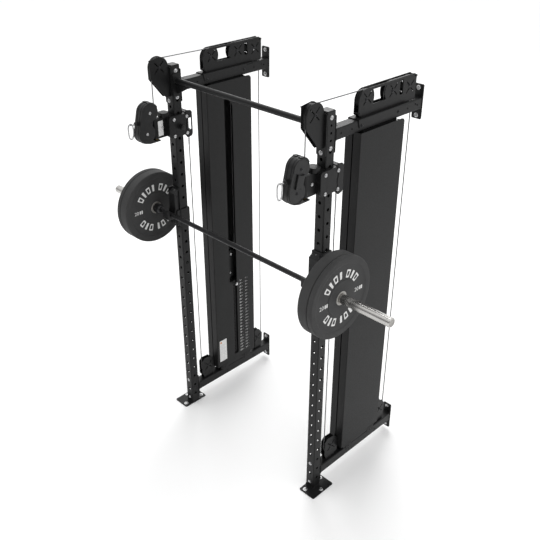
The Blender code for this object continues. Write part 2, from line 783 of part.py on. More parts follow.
# ---------------------------------------------------------------- rack pieces
def make_j_cup(name, middle, side):
    """The bar holder: it hooks round the upright and carries the bar on a lined shelf."""
    face = -HALF - GAP
    inner = HALF + GAP
    outer = inner + 0.006
    bottom = 1.405
    back = outline(
        rounded((middle - outer, bottom), (middle + outer, 1.650), 0.008), (face - 0.006, face), "y"
    )
    pieces = [back]
    for s, top in ((side, 1.648), (-side, 1.511)):
        low = min(middle + s * inner, middle + s * outer)
        span = (low, low + 0.006)
        wing = box(span, (-0.060, HALF + GAP + 0.006), (bottom + 0.004, top))
        pieces.append(wing)
    for low, high in ((1.446, 1.510), (1.580, 1.642)):
        reach = (middle - 0.032, middle + 0.032) if low < 1.5 else (middle, middle + side * 0.033)
        pieces.append(box(reach, (inner, inner + 0.0058), (low, high)))
    pad = [
        (face - 0.004, 1.425),
        (-0.066, 1.425),
        (-0.066, BAR_Z - 0.030),
        (-0.118, BAR_Z - 0.030),
        (-0.122, BAR_Z - 0.024),
        (-0.122, BAR_Z + 0.030),
        (-0.1085, BAR_Z + 0.030),
        (-0.1085, BAR_Z - 0.004),
        *arc((BAR_Y, BAR_Z), BAR_R + GAP + 0.0006, 197, 343, 6),
        (-0.0775, BAR_Z - 0.004),
        (-0.066, BAR_Z + 0.030),
        (-0.066, 1.618),
        (face - 0.004, 1.640),
    ]
    pieces.append(outline(pad, (middle - 0.029, middle + 0.029), "x"))
    finish(united(*pieces), name, "powder_coat")


def make_pull_up_bar():
    z = 2.292
    inside = TOWER_X - HALF - GAP
    bar = rod((0.0, 0.0, z), "x", 0.016, 2 * inside - 0.004, 16)
    pieces = [bar]
    for side in (-1, 1):
        end = side * inside
        points = [
            (end - side * 0.003, 2.222),
            (end - side * 0.010, 2.220),
            (end - side * 0.112, 2.272),
            (end - side * 0.112, 2.290),
            (end - side * 0.003, 2.290),
        ]
        pieces.append(outline(points, (-0.003, 0.003), "y"))
        flange = rounded((-0.029, 2.205), (0.029, 2.335), 0.008)
        pieces.append(outline(flange, (end - side * 0.006, end), "x"))
    finish(united(*pieces), "pull_up_bar", "powder_coat")


def make_barbell():
    collar = 0.655
    half_profile = [
        (0.0, BAR_HALF_LENGTH),
        (SLEEVE_R - 0.002, BAR_HALF_LENGTH),
        (SLEEVE_R, BAR_HALF_LENGTH - 0.002),
        (SLEEVE_R, DISC_X - 0.004),
        (0.036, DISC_X - 0.004),
        (0.036, collar + 0.008),
        (0.024, collar),
        (BAR_R, collar - 0.002),
    ]
    profile = half_profile + [(radius, -along) for radius, along in reversed(half_profile)]
    bar = turned(profile, (0.0, BAR_Y, BAR_Z), "x", 16, closed=False)
    return finish(bar, "barbell", "black_oxide", (0.0, BAR_Y, BAR_Z))


def make_disc(name, side, near, thickness, dish, parent):
    """A rubber disc on the sleeve: a raised rim, a recessed face each side and a hub."""
    bore = SLEEVE_R + 0.0008
    far = near + thickness
    edge = 0.005
    profile = [
        (bore, near),
        (0.070, near),
        (0.076, near + dish),
        (0.182, near + dish),
        (0.190, near),
        (DISC_R - edge, near),
        (DISC_R, near + edge),
        (DISC_R, far - edge),
        (DISC_R - edge, far),
        (0.190, far),
        (0.182, far - dish),
        (0.076, far - dish),
        (0.070, far),
        (bore, far),
    ]
    profile = [(radius, side * along) for radius, along in profile]
    disc = turned(profile, (0.0, BAR_Y, BAR_Z), "x", 20, closed=True)
    finish(disc, name, "rubber", (side * near, BAR_Y, BAR_Z), parent)


# ---------------------------------------------------------------- assembly
def make_tower(side):
    middle = side * TOWER_X
    end = "_r" if side > 0 else "_l"
    make_upright("upright" + end, middle)
    make_foot_plate("foot_plate" + end, middle, side)
    make_upper_beam("upper_beam" + end, middle)
    make_lower_beam("lower_beam" + end, middle)
    make_top_bracket("top_bracket" + end, middle)
    make_front_housing("front_housing" + end, middle)
    make_pulley("pulley_top_front" + end, middle, TOP_FRONT)
    make_pulley("pulley_bracket_front" + end, middle, BRACKET_FRONT)
    make_pulley("pulley_bracket_mid" + end, middle, BRACKET_MID)
    make_pulley("pulley_bracket_rear" + end, middle, BRACKET_REAR)
    make_pulley("pulley_low_front" + end, middle, LOW_FRONT)
    make_pulley("pulley_low_rear" + end, middle, LOW_REAR)
    make_shroud("shroud_inner" + end, middle, -side, True)
    make_shroud("shroud_outer" + end, middle, side, False)
    make_guide_rods("guide_rods" + end, middle)
    make_weight_stack("weight_stack" + end, middle)
    selector = make_selector("selector" + end, middle, side)
    make_selector_pin("selector_pin" + end, middle, side, selector)
    make_pulley("pulley_stack" + end, middle, STACK_PULLEY, STACK_PULLEY_R, selector)
    trolley = make_trolley("trolley" + end, middle, side)
    make_pop_pin("pop_pin" + end, middle, side, trolley)
    head = make_swivel_head("swivel_head" + end, middle, trolley)
    make_pulley("pulley_head_upper" + end, middle, HEAD_UPPER, PULLEY_R, head)
    make_pulley("pulley_head_lower" + end, middle, HEAD_LOWER, PULLEY_R, head)
    make_carabiner("carabiner" + end, middle, head)
    make_cable("cable" + end, middle)
    make_j_cup("j_cup" + end, middle, side)


clear_scene()
PARTS = new_collection("cable_crossover_machine")
MACHINE = bpy.data.objects.new("machine", None)
PARTS.objects.link(MACHINE)
MACHINE.location = (0.0, -MIDDLE_Y, 0.0)
MACHINE["at"] = (0.0, 0.0, 0.0)

make_tower(-1)
make_tower(1)
make_pull_up_bar()
barbell = make_barbell()
for suffix, hand in (("_l", -1), ("_r", 1)):
    make_disc("thick_plate" + suffix, hand, DISC_X, THICK_DISC, 0.005, barbell)
    thin_near = DISC_X + THICK_DISC + 0.001
    make_disc("thin_plate" + suffix, hand, thin_near, THIN_DISC, 0.004, barbell)
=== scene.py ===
"""Looks of the wall-mounted cable crossover machine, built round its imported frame.

Shapes are drawn in rack coordinates, metres, where Y = 0 is the middle of the uprights, and
every piece is moved by SHIFT into the frame's own coordinates. X runs along the wall, +Y
points at the wall. The suffixes _l and _r are the towers at -X and +X.
"""
from math import atan2, copysign, cos, degrees, pi, radians, sin, tan

import bmesh
import bpy
from mathutils import Matrix, Vector


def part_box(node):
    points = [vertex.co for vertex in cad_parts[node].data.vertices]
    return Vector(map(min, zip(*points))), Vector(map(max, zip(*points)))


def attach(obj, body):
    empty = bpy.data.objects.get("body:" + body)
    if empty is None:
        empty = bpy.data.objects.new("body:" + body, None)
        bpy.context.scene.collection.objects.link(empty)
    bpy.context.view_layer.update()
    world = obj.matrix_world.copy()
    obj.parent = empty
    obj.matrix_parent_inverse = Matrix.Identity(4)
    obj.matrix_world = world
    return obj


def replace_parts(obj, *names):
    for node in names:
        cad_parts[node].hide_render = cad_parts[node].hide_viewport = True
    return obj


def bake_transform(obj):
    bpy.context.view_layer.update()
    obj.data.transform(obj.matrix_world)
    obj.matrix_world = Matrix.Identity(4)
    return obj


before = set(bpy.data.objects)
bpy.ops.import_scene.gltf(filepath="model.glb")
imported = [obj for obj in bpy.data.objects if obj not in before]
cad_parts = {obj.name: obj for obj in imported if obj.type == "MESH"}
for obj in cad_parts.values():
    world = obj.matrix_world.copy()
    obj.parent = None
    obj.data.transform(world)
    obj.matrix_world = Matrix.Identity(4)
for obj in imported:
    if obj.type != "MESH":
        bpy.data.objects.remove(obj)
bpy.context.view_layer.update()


def middle(node):
    low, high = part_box(node)
    return (low + high) / 2


# ---------------------------------------------------------------- places taken from the frame
SHIFT = middle("upright_r").y
TOWER_X = middle("upright_r").x
UPRIGHT_LOW, UPRIGHT_HIGH = (corner.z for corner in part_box("upright_r"))
HALF = (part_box("upright_r")[1].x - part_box("upright_r")[0].x) / 2
WALL_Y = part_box("upper_beam_r")[1].y - SHIFT


def axle_of(node):
    """(Y, Z) of a pulley's axle in rack coordinates."""
    place = middle(node)
    return place.y - SHIFT, place.z


PULLEYS = {
    name: axle_of(f"pulley_{name}_r")
    for name in ("top_front", "bracket_front", "bracket_mid", "bracket_rear", "low_front", "low_rear",
                 "head_upper", "head_lower")
}
(TOP_FRONT, BRACKET_FRONT, BRACKET_MID, BRACKET_REAR, LOW_FRONT, LOW_REAR, HEAD_UPPER,
 HEAD_LOWER) = PULLEYS.values()
STACK_PULLEY = axle_of("pulley_stack_r")
BAR_Y, BAR_Z = axle_of("barbell")
BAR_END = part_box("barbell")[1].x
THICK_DISC, THIN_DISC = (
    tuple(corner.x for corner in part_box(node)) for node in ("thick_plate_r", "thin_plate_r")
)
DISC_R = (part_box("thick_plate_r")[1].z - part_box("thick_plate_r")[0].z) / 2
SHROUD_Y = tuple(corner.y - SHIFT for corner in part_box("shroud_outer_r"))
SHROUD_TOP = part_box("shroud_outer_r")[1].z
SHROUD_HALF_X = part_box("shroud_outer_r")[1].x - TOWER_X
STACK_BOTTOM, STACK_TOP = (corner.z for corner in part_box("weight_stack_r"))
STACK_Y = middle("weight_stack_r").y - SHIFT

# ---------------------------------------------------------------- sizes shared by the shapes
ENDS = (("_l", -1), ("_r", 1))
GAP = 0.0003  # between pieces that touch
WALL = 0.003  # of the square tubes
SHEET = 0.002
HOLE_PITCH = 0.075
HOLE_R = 0.009
SIDE_HOLE_Z = 0.08  # lowest hole in the faces at +-X
FACE_HOLE_Z = 0.0425  # lowest hole in the faces at +-Y
HOLE_COUNT = 30
BEAM_Z = {"upper": 2.255, "lower": 0.1175}
FLANGE_T = 0.008
FLANGE_HALF = 0.094
FLANGE_RISE = {"upper": 0.004, "lower": -0.0005}
PLATE_T = 0.006
STRAND_HOLES = (0.317, 0.428)  # Y of the two strands that pass down through the upper beam
TABS = ((0.245, 0.295), (0.455, 0.515))  # Y of the shroud's tabs on the lower beam
HOUSING_HALF = 0.016  # half the width over the cheeks of a pulley housing
HOUSING_T = 0.003
PULLEY_R = 0.048  # at the middle of the cable
STACK_PULLEY_R = 0.05
CABLE_R = 0.003
LAY = 0.045  # length of cable in which its strands turn once
SWIVEL_Y = -0.146
TROLLEY_Z = 2.03  # height of the pop pin
ARM_HALF = 0.0175  # half the width of the trolley's arm
ANCHOR_Y, ANCHOR_Z = LOW_FRONT[0] - PULLEY_R, 1.945  # where the cable ends in the trolley
HEAD_R = 0.055
HEAD_HALF = 0.027
HEAD_LEAN = degrees(atan2(HEAD_UPPER[0] - HEAD_LOWER[0], HEAD_UPPER[1] - HEAD_LOWER[1]))
FRONT_SLOPE = 0.2412  # of the head's front, which leans with the line between its axles
WEIGHTS = 23
WEIGHT_T = (STACK_TOP - STACK_BOTTOM) / WEIGHTS
BALL = (-0.2745, HEAD_UPPER[1] - PULLEY_R)
LINK_Y = -0.311  # middle of the snap link
SLEEVE_R = 0.025


# ---------------------------------------------------------------- materials
class Nodes:
    """A node tree that is filled one node at a time; the outputs of each node are returned."""

    def __init__(self, tree):
        self.tree = tree

    def feed(self, socket, value):
        if isinstance(value, bpy.types.NodeSocket):
            self.tree.links.new(value, socket)
        else:
            socket.default_value = value

    def add(self, kind, inputs=(), **settings):
        node = self.tree.nodes.new("ShaderNode" + kind)
        for name, value in settings.items():
            setattr(node, name, value)
        for name, value in dict(inputs).items():
            self.feed(node.inputs[name], value)
        return node.outputs

    def math(self, operation, a, b=0.0):
        return self.add("Math", {0: a, 1: b}, operation=operation)[0]

    def ranged(self, value, low, high, start=0.3, end=0.7):
        inputs = {"Value": value, "From Min": start, "From Max": end, "To Min": low, "To Max": high}
        return self.add("MapRange", inputs)["Result"]


class Graph(Nodes):
    """A material with one shader, fed by the nodes that are added to it."""

    def __init__(self, name, metallic=0.0, specular=0.5, coat=0.0):
        self.material = bpy.data.materials.new(name)
        self.material.use_nodes = True
        super().__init__(self.material.node_tree)
        self.shader = self.tree.nodes["Principled BSDF"]
        self.shader.inputs["Metallic"].default_value = metallic
        self.shader.inputs["Specular IOR Level"].default_value = specular
        self.shader.inputs["Coat Weight"].default_value = coat
        self.shader.inputs["Coat Roughness"].default_value = 0.15
        self.place = self.add("TexCoord")["Object"]

    def noise(self, scale, detail=3.0, vector=None):
        inputs = {"Vector": vector or self.place, "Scale": scale, "Detail": detail}
        return self.add("TexNoise", inputs)["Fac"]

    def toned(self, colour, tone):
        """The colour made lighter or darker by a value round 1."""
        return self.add("VectorMath", {0: colour[:3], "Scale": tone}, operation="SCALE")["Vector"]

    def blended(self, share, first, second):
        return self.add("Mix", {0: share, 6: first, 7: second}, data_type="RGBA")[2]

    def bump(self, height, distance, strength=1.0):
        inputs = {"Height": height, "Distance": distance, "Strength": strength}
        self.feed(self.shader.inputs["Normal"], self.add("Bump", inputs)["Normal"])

    def done(self, colour, roughness):
        self.feed(self.shader.inputs["Base Color"], colour)
        self.feed(self.shader.inputs["Roughness"], roughness)
        return self.material


def coated(name, colour, roughness, grain, height, specular):
    """Powder coat: a fine leathery grain and a faintly cloudy tone."""
    graph = Graph(name, specular=specular)
    peel = graph.noise(grain, 4.0)
    body = graph.toned(colour, graph.ranged(graph.noise(5.0, 5.0), 0.94, 1.06))
    graph.bump(peel, height, 0.5)
    return graph.done(body, graph.ranged(graph.noise(grain / 3), roughness - 0.05, roughness + 0.06))


def plastic(name, colour, roughness, specular=0.5):
    """Moulded nylon with a faint spark-eroded texture and flow marks."""
    graph = Graph(name, specular=specular)
    tone = graph.ranged(graph.noise(14.0, 5.0), 0.85, 1.15)
    graph.bump(graph.noise(1600.0, 2.0), 0.00006, 0.5)
    return graph.done(
        graph.toned(colour, tone), graph.ranged(graph.noise(90.0), roughness - 0.06, roughness + 0.08)
    )


def steel(name, colour, roughness, along=(1.0, 1.0, 1.0), marks=0.00003, metallic=1.0, wander=1.0):
    """Bright or brushed metal; along says how fast its marks change on each axis, wander how uneven it is."""
    graph = Graph(name, metallic=metallic)
    stretched = graph.add("Mapping", {"Vector": graph.place, "Scale": along})["Vector"]
    lines = graph.noise(900.0, 3.0, stretched)
    smears = graph.noise(35.0, 4.0)
    graph.bump(lines, marks, 0.4)
    fine = graph.ranged(lines, -0.05 * wander, 0.06 * wander)
    broad = graph.ranged(smears, -0.03 * wander, 0.05 * wander)
    spread = graph.math("ADD", fine, broad)
    return graph.done(
        graph.toned(colour, graph.ranged(smears, 0.93, 1.05)), graph.math("ADD", spread, roughness)
    )


def rubber(name, colour, roughness):
    """Moulded rubber: granular, with dust held in the grain."""
    graph = Graph(name, specular=0.25)
    grain = graph.noise(700.0, 5.0)
    cloud = graph.noise(9.0, 6.0)
    fleck = graph.ranged(graph.noise(1400.0, 1.0), 0.92, 1.16)
    tone = graph.math("MULTIPLY", graph.ranged(cloud, 0.88, 1.1), fleck)
    graph.bump(grain, 0.00006, 0.6)
    return graph.done(
        graph.toned(colour, tone),
        graph.ranged(grain, roughness - 0.06, roughness + 0.06),
    )


def knurled(name, colour, roughness, pitch=0.0016):
    """Diamond knurling round the bar, in bands broken by smooth stretches."""
    graph = Graph(name, metallic=0.85)
    parts = graph.add("SeparateXYZ", {"Vector": graph.place})
    y = graph.math("SUBTRACT", parts["Y"], BAR_Y + SHIFT)
    z = graph.math("SUBTRACT", parts["Z"], BAR_Z)
    round_it = graph.math("MULTIPLY", graph.math("ARCTAN2", y, z), 0.014)
    ridges = []
    for hand in ("ADD", "SUBTRACT"):
        wave = graph.math("MULTIPLY", graph.math(hand, parts["X"], round_it), 2 * pi / pitch / 1.414)
        ridges.append(graph.math("ABSOLUTE", graph.math("SINE", wave)))
    diamonds = graph.math("MULTIPLY", *ridges)
    reach = graph.math("ABSOLUTE", parts["X"])
    held = graph.math("GREATER_THAN", reach, 0.2)
    ring = graph.math("LESS_THAN", graph.math("ABSOLUTE", graph.math("SUBTRACT", reach, 0.405)), 0.003)
    band = graph.math("MULTIPLY", held, graph.math("SUBTRACT", 1.0, ring))
    graph.bump(graph.math("MULTIPLY", diamonds, band), 0.0004, 0.8)
    worn = graph.ranged(graph.math("MULTIPLY", diamonds, band), 0.0, 0.35, 0.6, 1.0)
    bright = (0.1, 0.1, 0.102, 1.0)
    return graph.done(
        graph.blended(worn, colour, bright),
        graph.ranged(graph.noise(40.0), roughness - 0.05, roughness + 0.08),
    )


def wire_rope(name):
    """Six strands laid round a core under a clear coat, with painted shade in the grooves between the strands;
    the pattern follows the cable.
    """
    graph = Graph(name, metallic=0.9, coat=0.25)
    parts = graph.add("SeparateXYZ", {"Vector": graph.add("UVMap")["UV"]})
    turn = graph.math("ADD", graph.math("MULTIPLY", parts["Y"], 6.0), parts["X"])
    strand = graph.math("ABSOLUTE", graph.math("SINE", graph.math("MULTIPLY", turn, pi)))
    wires = graph.math("SINE", graph.math("MULTIPLY", graph.math("SUBTRACT", turn, parts["X"]), 36.0))
    height = graph.math("ADD", strand, graph.math("MULTIPLY", wires, 0.12))
    graph.bump(height, 0.0006, 0.8)
    # painted shade: the colour is darkened in the grooves between the strands and full on their crowns
    painted_groove_shade = graph.ranged(strand, 0.3, 1.0, 0.0, 0.6)
    return graph.done(graph.toned((0.16, 0.16, 0.165, 1.0), painted_groove_shade), 0.4)


def printed(name, colour):
    graph = Graph(name, specular=0.3)
    tone = graph.ranged(graph.noise(120.0, 4.0), 0.9, 1.03)
    graph.bump(graph.noise(500.0), 0.00005, 0.4)
    return graph.done(graph.toned(colour, tone), graph.ranged(graph.noise(60.0), 0.5, 0.62))


COAT = coated("powder_coat_black", (0.0082, 0.0083, 0.0086, 1), 0.4, 500.0, 0.000012, 0.21)
PANEL = coated("powder_coat_sheet", (0.0115, 0.0116, 0.0118, 1), 0.48, 400.0, 0.000006, 0.19)
COVER = plastic("head_cover_nylon", (0.0115, 0.0115, 0.012, 1), 0.4, 0.3)
NYLON = plastic("pulley_nylon", (0.008, 0.008, 0.0082, 1), 0.36, 0.3)
LINER = plastic("liner_plastic", (0.012, 0.012, 0.0124, 1), 0.44, 0.28)
ZINC = steel("zinc_plated_steel", (0.52, 0.52, 0.525, 1), 0.24)
HUB = steel("hub_steel", (0.34, 0.33, 0.31, 1), 0.3, metallic=0.35)
CHROME = steel("chrome_sleeve", (0.52, 0.51, 0.495, 1), 0.24, (0.02, 1.0, 1.0), 0.000001, wander=0.15)
GUIDE = steel("chrome_rod", (0.62, 0.62, 0.63, 1), 0.18, (0.02, 0.02, 1.2))
OXIDE = steel("black_oxide_steel", (0.03, 0.03, 0.032, 1), 0.36, metallic=0.7)
BRASS = steel("brass_washer", (0.55, 0.4, 0.16, 1), 0.3)
IRON = coated("stack_paint", (0.008, 0.008, 0.0083, 1), 0.46, 500.0, 0.00008, 0.22)
RUBBER = rubber("bumper_rubber", (0.044, 0.0441, 0.0444, 1), 0.72)
KNURL = knurled("knurled_shaft", (0.02, 0.02, 0.021, 1), 0.4)
ROPE = wire_rope("wire_rope")
WHITE = printed("white_print", (0.8, 0.8, 0.79, 1))
GREY = printed("grey_print", (0.52, 0.52, 0.52, 1))
INK = printed("faint_print", (0.58, 0.58, 0.59, 1))
ORANGE = printed("orange_print", (0.7, 0.28, 0.07, 1))

# the slot and the material of the pieces that share both
PAINTED = "powder_coat", COAT
COVERED = "powder_coat", COVER
MOULDED = "pulley_plastic", NYLON
SHEETED = "sheet_coat", PANEL
BRIGHT = "bright_steel", ZINC
DARK = "black_oxide", OXIDE
CAST = "stack_iron", IRON
RUBBERY = "rubber", RUBBER


# ---------------------------------------------------------------- shapes
MERGE = 0.000004  # points closer than this are one
SHARPEST_CURVE = radians(24)  # a bend above this is a corner
CREASE = radians(26)  # an edge above this is shaded as sharp
RIM_ANGLE = 1.2  # an edge of an outline above this is a rim, in radians


def baked(work):
    bmesh.ops.remove_doubles(work, verts=work.verts, dist=MERGE)
    bmesh.ops.recalc_face_normals(work, faces=work.faces)
    mesh = bpy.data.meshes.new("shape")
    work.to_mesh(mesh)
    work.free()
    return mesh


def turn_to(axis):
    """The rotation that takes +Z to +X, +Y or +Z."""
    return {
        "x": Matrix.Rotation(pi / 2, 4, "Y"),
        "y": Matrix.Rotation(-pi / 2, 4, "X"),
        "z": Matrix.Identity(4),
    }[axis]


def arc(centre, radius, start, end, count=8):
    """Points on an arc, angles in degrees from the first axis towards the second."""
    turns = (radians(start + (end - start) * i / count) for i in range(count + 1))
    return [(centre[0] + radius * cos(t), centre[1] + radius * sin(t)) for t in turns]


def fillet(points, radius, count=3, closed=True):
    """A polyline with its corners rounded off, apart from the slight bends of a curve."""
    points = [Vector(p) for p in points]
    total = len(points)
    made = []
    for i, point in enumerate(points):
        before, after = points[i - 1] - point, points[(i + 1) % total] - point
        inside = closed or 0 < i < total - 1
        if not inside or min(before.length, after.length) < 1e-7:
            made.append(tuple(point))
            continue
        bend = pi - before.angle(after)
        if bend < SHARPEST_CURVE:
            made.append(tuple(point))
            continue
        reach = min(radius * tan(min(bend, 2.8) / 2), before.length * 0.45, after.length * 0.45)
        first, last = point + before.normalized() * reach, point + after.normalized() * reach
        for k in range(count + 1):
            t = k / count
            made.append(tuple(first * (1 - t) ** 2 + point * 2 * t * (1 - t) + last * t * t))
    return made


def rounded(low, high, radius, count=5):
    """A rectangle with round corners."""
    (a, b), (c, d) = low, high
    corners = (((c, d), 0), ((a, d), 90), ((a, b), 180), ((c, b), 270))
    points = []
    for (u, v), turn in corners:
        inner = (u + (radius if u == a else -radius), v + (radius if v == b else -radius))
        points += arc(inner, radius, turn, turn + 90, count)
    return points


def block(x, y, z, edge=0.0008):
    """A block between the low and high values of x, y and z, its edges rounded off."""
    low = Vector((min(x), min(y), min(z)))
    high = Vector((max(x), max(y), max(z)))
    place = Matrix.Translation((low + high) / 2) @ Matrix.Diagonal((*(high - low), 1.0))
    work = bmesh.new()
    bmesh.ops.create_cube(work, size=1.0, matrix=place)
    reach = min(edge, 0.4 * min(high - low))
    bmesh.ops.bevel(
        work, geom=list(work.edges), offset=reach, segments=2, profile=0.5, affect="EDGES"
    )
    return baked(work)


def outline(points, span, normal="x", holes=(), edge=0.0006):
    """A flat outline with holes, filled and extruded over span, its rims rounded off.

    The two values of each point are (Y, Z) for normal x, (X, Z) for y and (X, Y) for z.
    """
    curve = bpy.data.curves.new("outline", "CURVE")
    curve.dimensions = "2D"
    curve.fill_mode = "BOTH"
    curve.extrude = abs(span[1] - span[0]) / 2
    for loop in (points, *holes):
        spline = curve.splines.new("POLY")
        spline.points.add(len(loop) - 1)
        spline.use_cyclic_u = True
        for point, (a, b) in zip(spline.points, loop):
            point.co = (a, b, 0.0, 1.0)
    mesh = meshed(curve)
    at = sum(span) / 2
    mesh.transform({
        "x": Matrix(((0, 0, 1, at), (1, 0, 0, 0), (0, 1, 0, 0), (0, 0, 0, 1))),
        "y": Matrix(((1, 0, 0, 0), (0, 0, -1, at), (0, 1, 0, 0), (0, 0, 0, 1))),
        "z": Matrix(((1, 0, 0, 0), (0, 1, 0, 0), (0, 0, 1, at), (0, 0, 0, 1))),
    }[normal])
    work = bmesh.new()
    work.from_mesh(mesh)
    bmesh.ops.remove_doubles(work, verts=work.verts, dist=MERGE)
    if edge:
        rims = [e for e in work.edges if len(e.link_faces) == 2 and e.calc_face_angle(0) > RIM_ANGLE]
        across = "xyz".index(normal)
        rims = [e for e in rims if abs(e.verts[0].co[across] - e.verts[1].co[across]) < 1e-6]
        bmesh.ops.bevel(work, geom=rims, offset=edge, segments=2, profile=0.5, affect="EDGES")
    return baked(work)


def lathe(profile, centre, axis="x", steps=48, closed=False, edge=0.0):
    """A profile of (radius, along) turned about an axis; closed for a piece with a bore."""
    if edge:
        profile = fillet(profile, edge, 2, closed)
    work = bmesh.new()
    ring = [work.verts.new((radius, 0.0, along)) for radius, along in profile]
    pairs = list(zip(ring, ring[1:])) + ([(ring[-1], ring[0])] if closed else [])
    lines = [work.edges.new(pair) for pair in pairs]
    bmesh.ops.spin(
        work, geom=ring + lines, cent=(0, 0, 0), axis=(0, 0, 1), angle=2 * pi, steps=steps
    )
    bmesh.ops.remove_doubles(work, verts=work.verts, dist=MERGE)
    mesh = baked(work)
    mesh.transform(Matrix.Translation(centre) @ turn_to(axis))
    return mesh


def rod(centre, axis, radius, length, steps=28, edge=0.0006):
    half = length / 2
    return lathe([(0, -half), (radius, -half), (radius, half), (0, half)], centre, axis, steps, edge=edge)


def pin(x, place, radius, length, steps=28, edge=0.0006):
    """A pin across a tower at (Y, Z)."""
    return rod((x, *place), "x", radius, length, steps, edge)


def tube_piece(centre, axis, outer, inner, length, steps=32, edge=0.0005):
    half = length / 2
    profile = [(inner, -half), (outer, -half), (outer, half), (inner, half)]
    return lathe(profile, centre, axis, steps, closed=True, edge=edge)


def wire(points, radius, cyclic=False, smoothness=3):
    """A round wire along the points."""
    curve = bpy.data.curves.new("wire", "CURVE")
    curve.dimensions = "3D"
    curve.bevel_depth = radius
    curve.bevel_resolution = smoothness
    curve.use_fill_caps = not cyclic
    spline = curve.splines.new("POLY")
    spline.points.add(len(points) - 1)
    spline.use_cyclic_u = cyclic
    for point, place in zip(spline.points, points):
        point.co = (*place, 1.0)
    work = bmesh.new()
    work.from_mesh(meshed(curve))
    return baked(work)


def evaluated(obj):
    bpy.context.view_layer.update()
    graph = bpy.context.evaluated_depsgraph_get()
    return bpy.data.meshes.new_from_object(obj.evaluated_get(graph), depsgraph=graph)


def meshed(curve):
    drawn = loose(curve)
    mesh = evaluated(drawn)
    bpy.data.objects.remove(drawn)
    return mesh


def joined(meshes):
    work = bmesh.new()
    for mesh in meshes:
        work.from_mesh(mesh)
        bpy.data.meshes.remove(mesh)
    made = bpy.data.meshes.new("joined")
    work.to_mesh(made)
    work.free()
    return made


def loose(data):
    obj = bpy.data.objects.new("loose", data)
    bpy.context.scene.collection.objects.link(obj)
    return obj


def cut(mesh, *tools):
    """The shape with the tools taken out of it."""
    base, tool = loose(mesh), loose(joined(tools))
    modifier = base.modifiers.new("cut", "BOOLEAN")
    modifier.operation = "DIFFERENCE"
    modifier.solver = "EXACT"
    modifier.object = tool
    made = evaluated(base)
    bpy.data.objects.remove(base)
    bpy.data.objects.remove(tool)
    return made


def piece(name, body, slot, material, *meshes, replaces=()):
    """One visible piece of closed shapes that rides on its body."""
    mesh = joined(meshes)
    mesh.name = name
    mesh.transform(Matrix.Translation((0, SHIFT, 0)))
    mesh.materials.clear()
    mesh.materials.append(material)
    mesh.shade_smooth()
    mesh.set_sharp_from_angle(angle=CREASE)
    obj = loose(mesh)
    obj.name = name
    obj.modifiers.new("face_weighted_normals", "WEIGHTED_NORMAL").keep_sharp = True
    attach(obj, body)
    if replaces:
        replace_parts(obj, *replaces)
    return obj


BOLTS = {}


def bolt(body, place, axis, out, radius=0.0085, height=0.0058, kind="zinc"):
    """A button-head screw on its washer, standing out of the surface at place."""
    r, h = radius, height
    profile = [
        (0.0, 0.4 * h), (0.34 * r, 0.42 * h), (0.4 * r, 1.00 * h), (0.62 * r, 0.98 * h),
        (0.86 * r, 0.8 * h), (r, 0.5 * h), (r, 0.24 * h), (1.28 * r, 0.22 * h),
        (1.32 * r, 0.14 * h), (1.32 * r, -0.05 * h), (0.0, -0.05 * h),
    ]
    mesh = lathe([(a, out * b) for a, b in profile], place, axis, 22)
    BOLTS.setdefault((body, kind), []).append(mesh)


def bolts(body, x, out, places, *size):
    """Bolts at (Y, Z) places on both sides, each out from the middle."""
    for s in (-1, 1):
        for place in places:
            bolt(body, (x + s * out, *place), "x", s, *size)


def pair(x, points, far, near, holes=(), edge=0.0006):
    """The same plate on both sides of the middle."""
    return [outline(points, (x + s * far, x + s * near), "x", holes, edge) for s in (-1, 1)]


# ---------------------------------------------------------------- frame
def spokes(centre, near=0.012, far=0.042, half_width=0.0028):
    """Four slots that radiate from an axle, as loops for holes."""
    loops = []
    for quarter in range(4):
        turn = radians(45 + 90 * quarter)
        along, across = Vector((cos(turn), sin(turn))), Vector((-sin(turn), cos(turn)))
        loop = []
        for reach, start in ((far, -90), (near, 90)):
            tip = Vector(centre) + along * reach
            loop += [
                tuple(tip + along * a + across * b)
                for a, b in arc((0, 0), half_width, start, start + 180, 4)
            ]
        loops.append(loop)
    return loops


def circle(centre, radius, count=28):
    return arc(centre, radius, 0, 360 - 360 / count, count - 1)


def square(centre, half, radius, count=5):
    return rounded((centre[0] - half, centre[1] - half), (centre[0] + half, centre[1] + half), radius, count)


def square_tube(centre, span, normal):
    return outline(square(centre, HALF, 0.006), span, normal, [square(centre, HALF - WALL, 0.003, 3)])


def weld(centre, place):
    """The bead round a square tube; place takes two values of its ring to a point."""
    ring = square(centre, HALF + 0.0006, 0.007)
    return wire([place(a, b) for a, b in ring], 0.0026, cyclic=True, smoothness=2)


def make_upright(end, x):
    tube = square_tube((x, 0.0), (UPRIGHT_LOW + GAP, UPRIGHT_HIGH - 0.003), "z")
    past, rim = 0.034, HALF - 0.0006
    flared = HOLE_R + past - rim
    profile = [(0, -past), (flared, -past), (HOLE_R, -rim), (HOLE_R, rim), (flared, past), (0, past)]
    drills = []
    for i in range(HOLE_COUNT):
        if i < HOLE_COUNT - 1:
            drills.append(lathe(profile, (x, 0.0, SIDE_HOLE_Z + HOLE_PITCH * i), "x", 20))
        drills.append(lathe(profile, (x, 0.0, FACE_HOLE_Z + HOLE_PITCH * i), "y", 20))
    drills += [pin(x, (0.0, z), 0.0065, 0.1, 20, 0) for z in (2.2345, 2.272, 2.3095)]
    piece("drilled_tube" + end, "frame", *PAINTED, cut(tube, *drills), replaces=["upright" + end])
    lid = outline(square((x, 0.0), 0.0275, 0.006), (UPRIGHT_HIGH - 0.006, UPRIGHT_HIGH), "z", edge=0.0014)
    piece("tube_cap" + end, "frame", "powder_coat", NYLON, lid)
    bolts("frame", x, HALF, ((0.0, 2.347), (0.0, 2.197)), 0.0088)
    for z in (0.0425, 0.1925):
        bolt("frame", (x, -HALF, z), "y", -1, 0.0088)


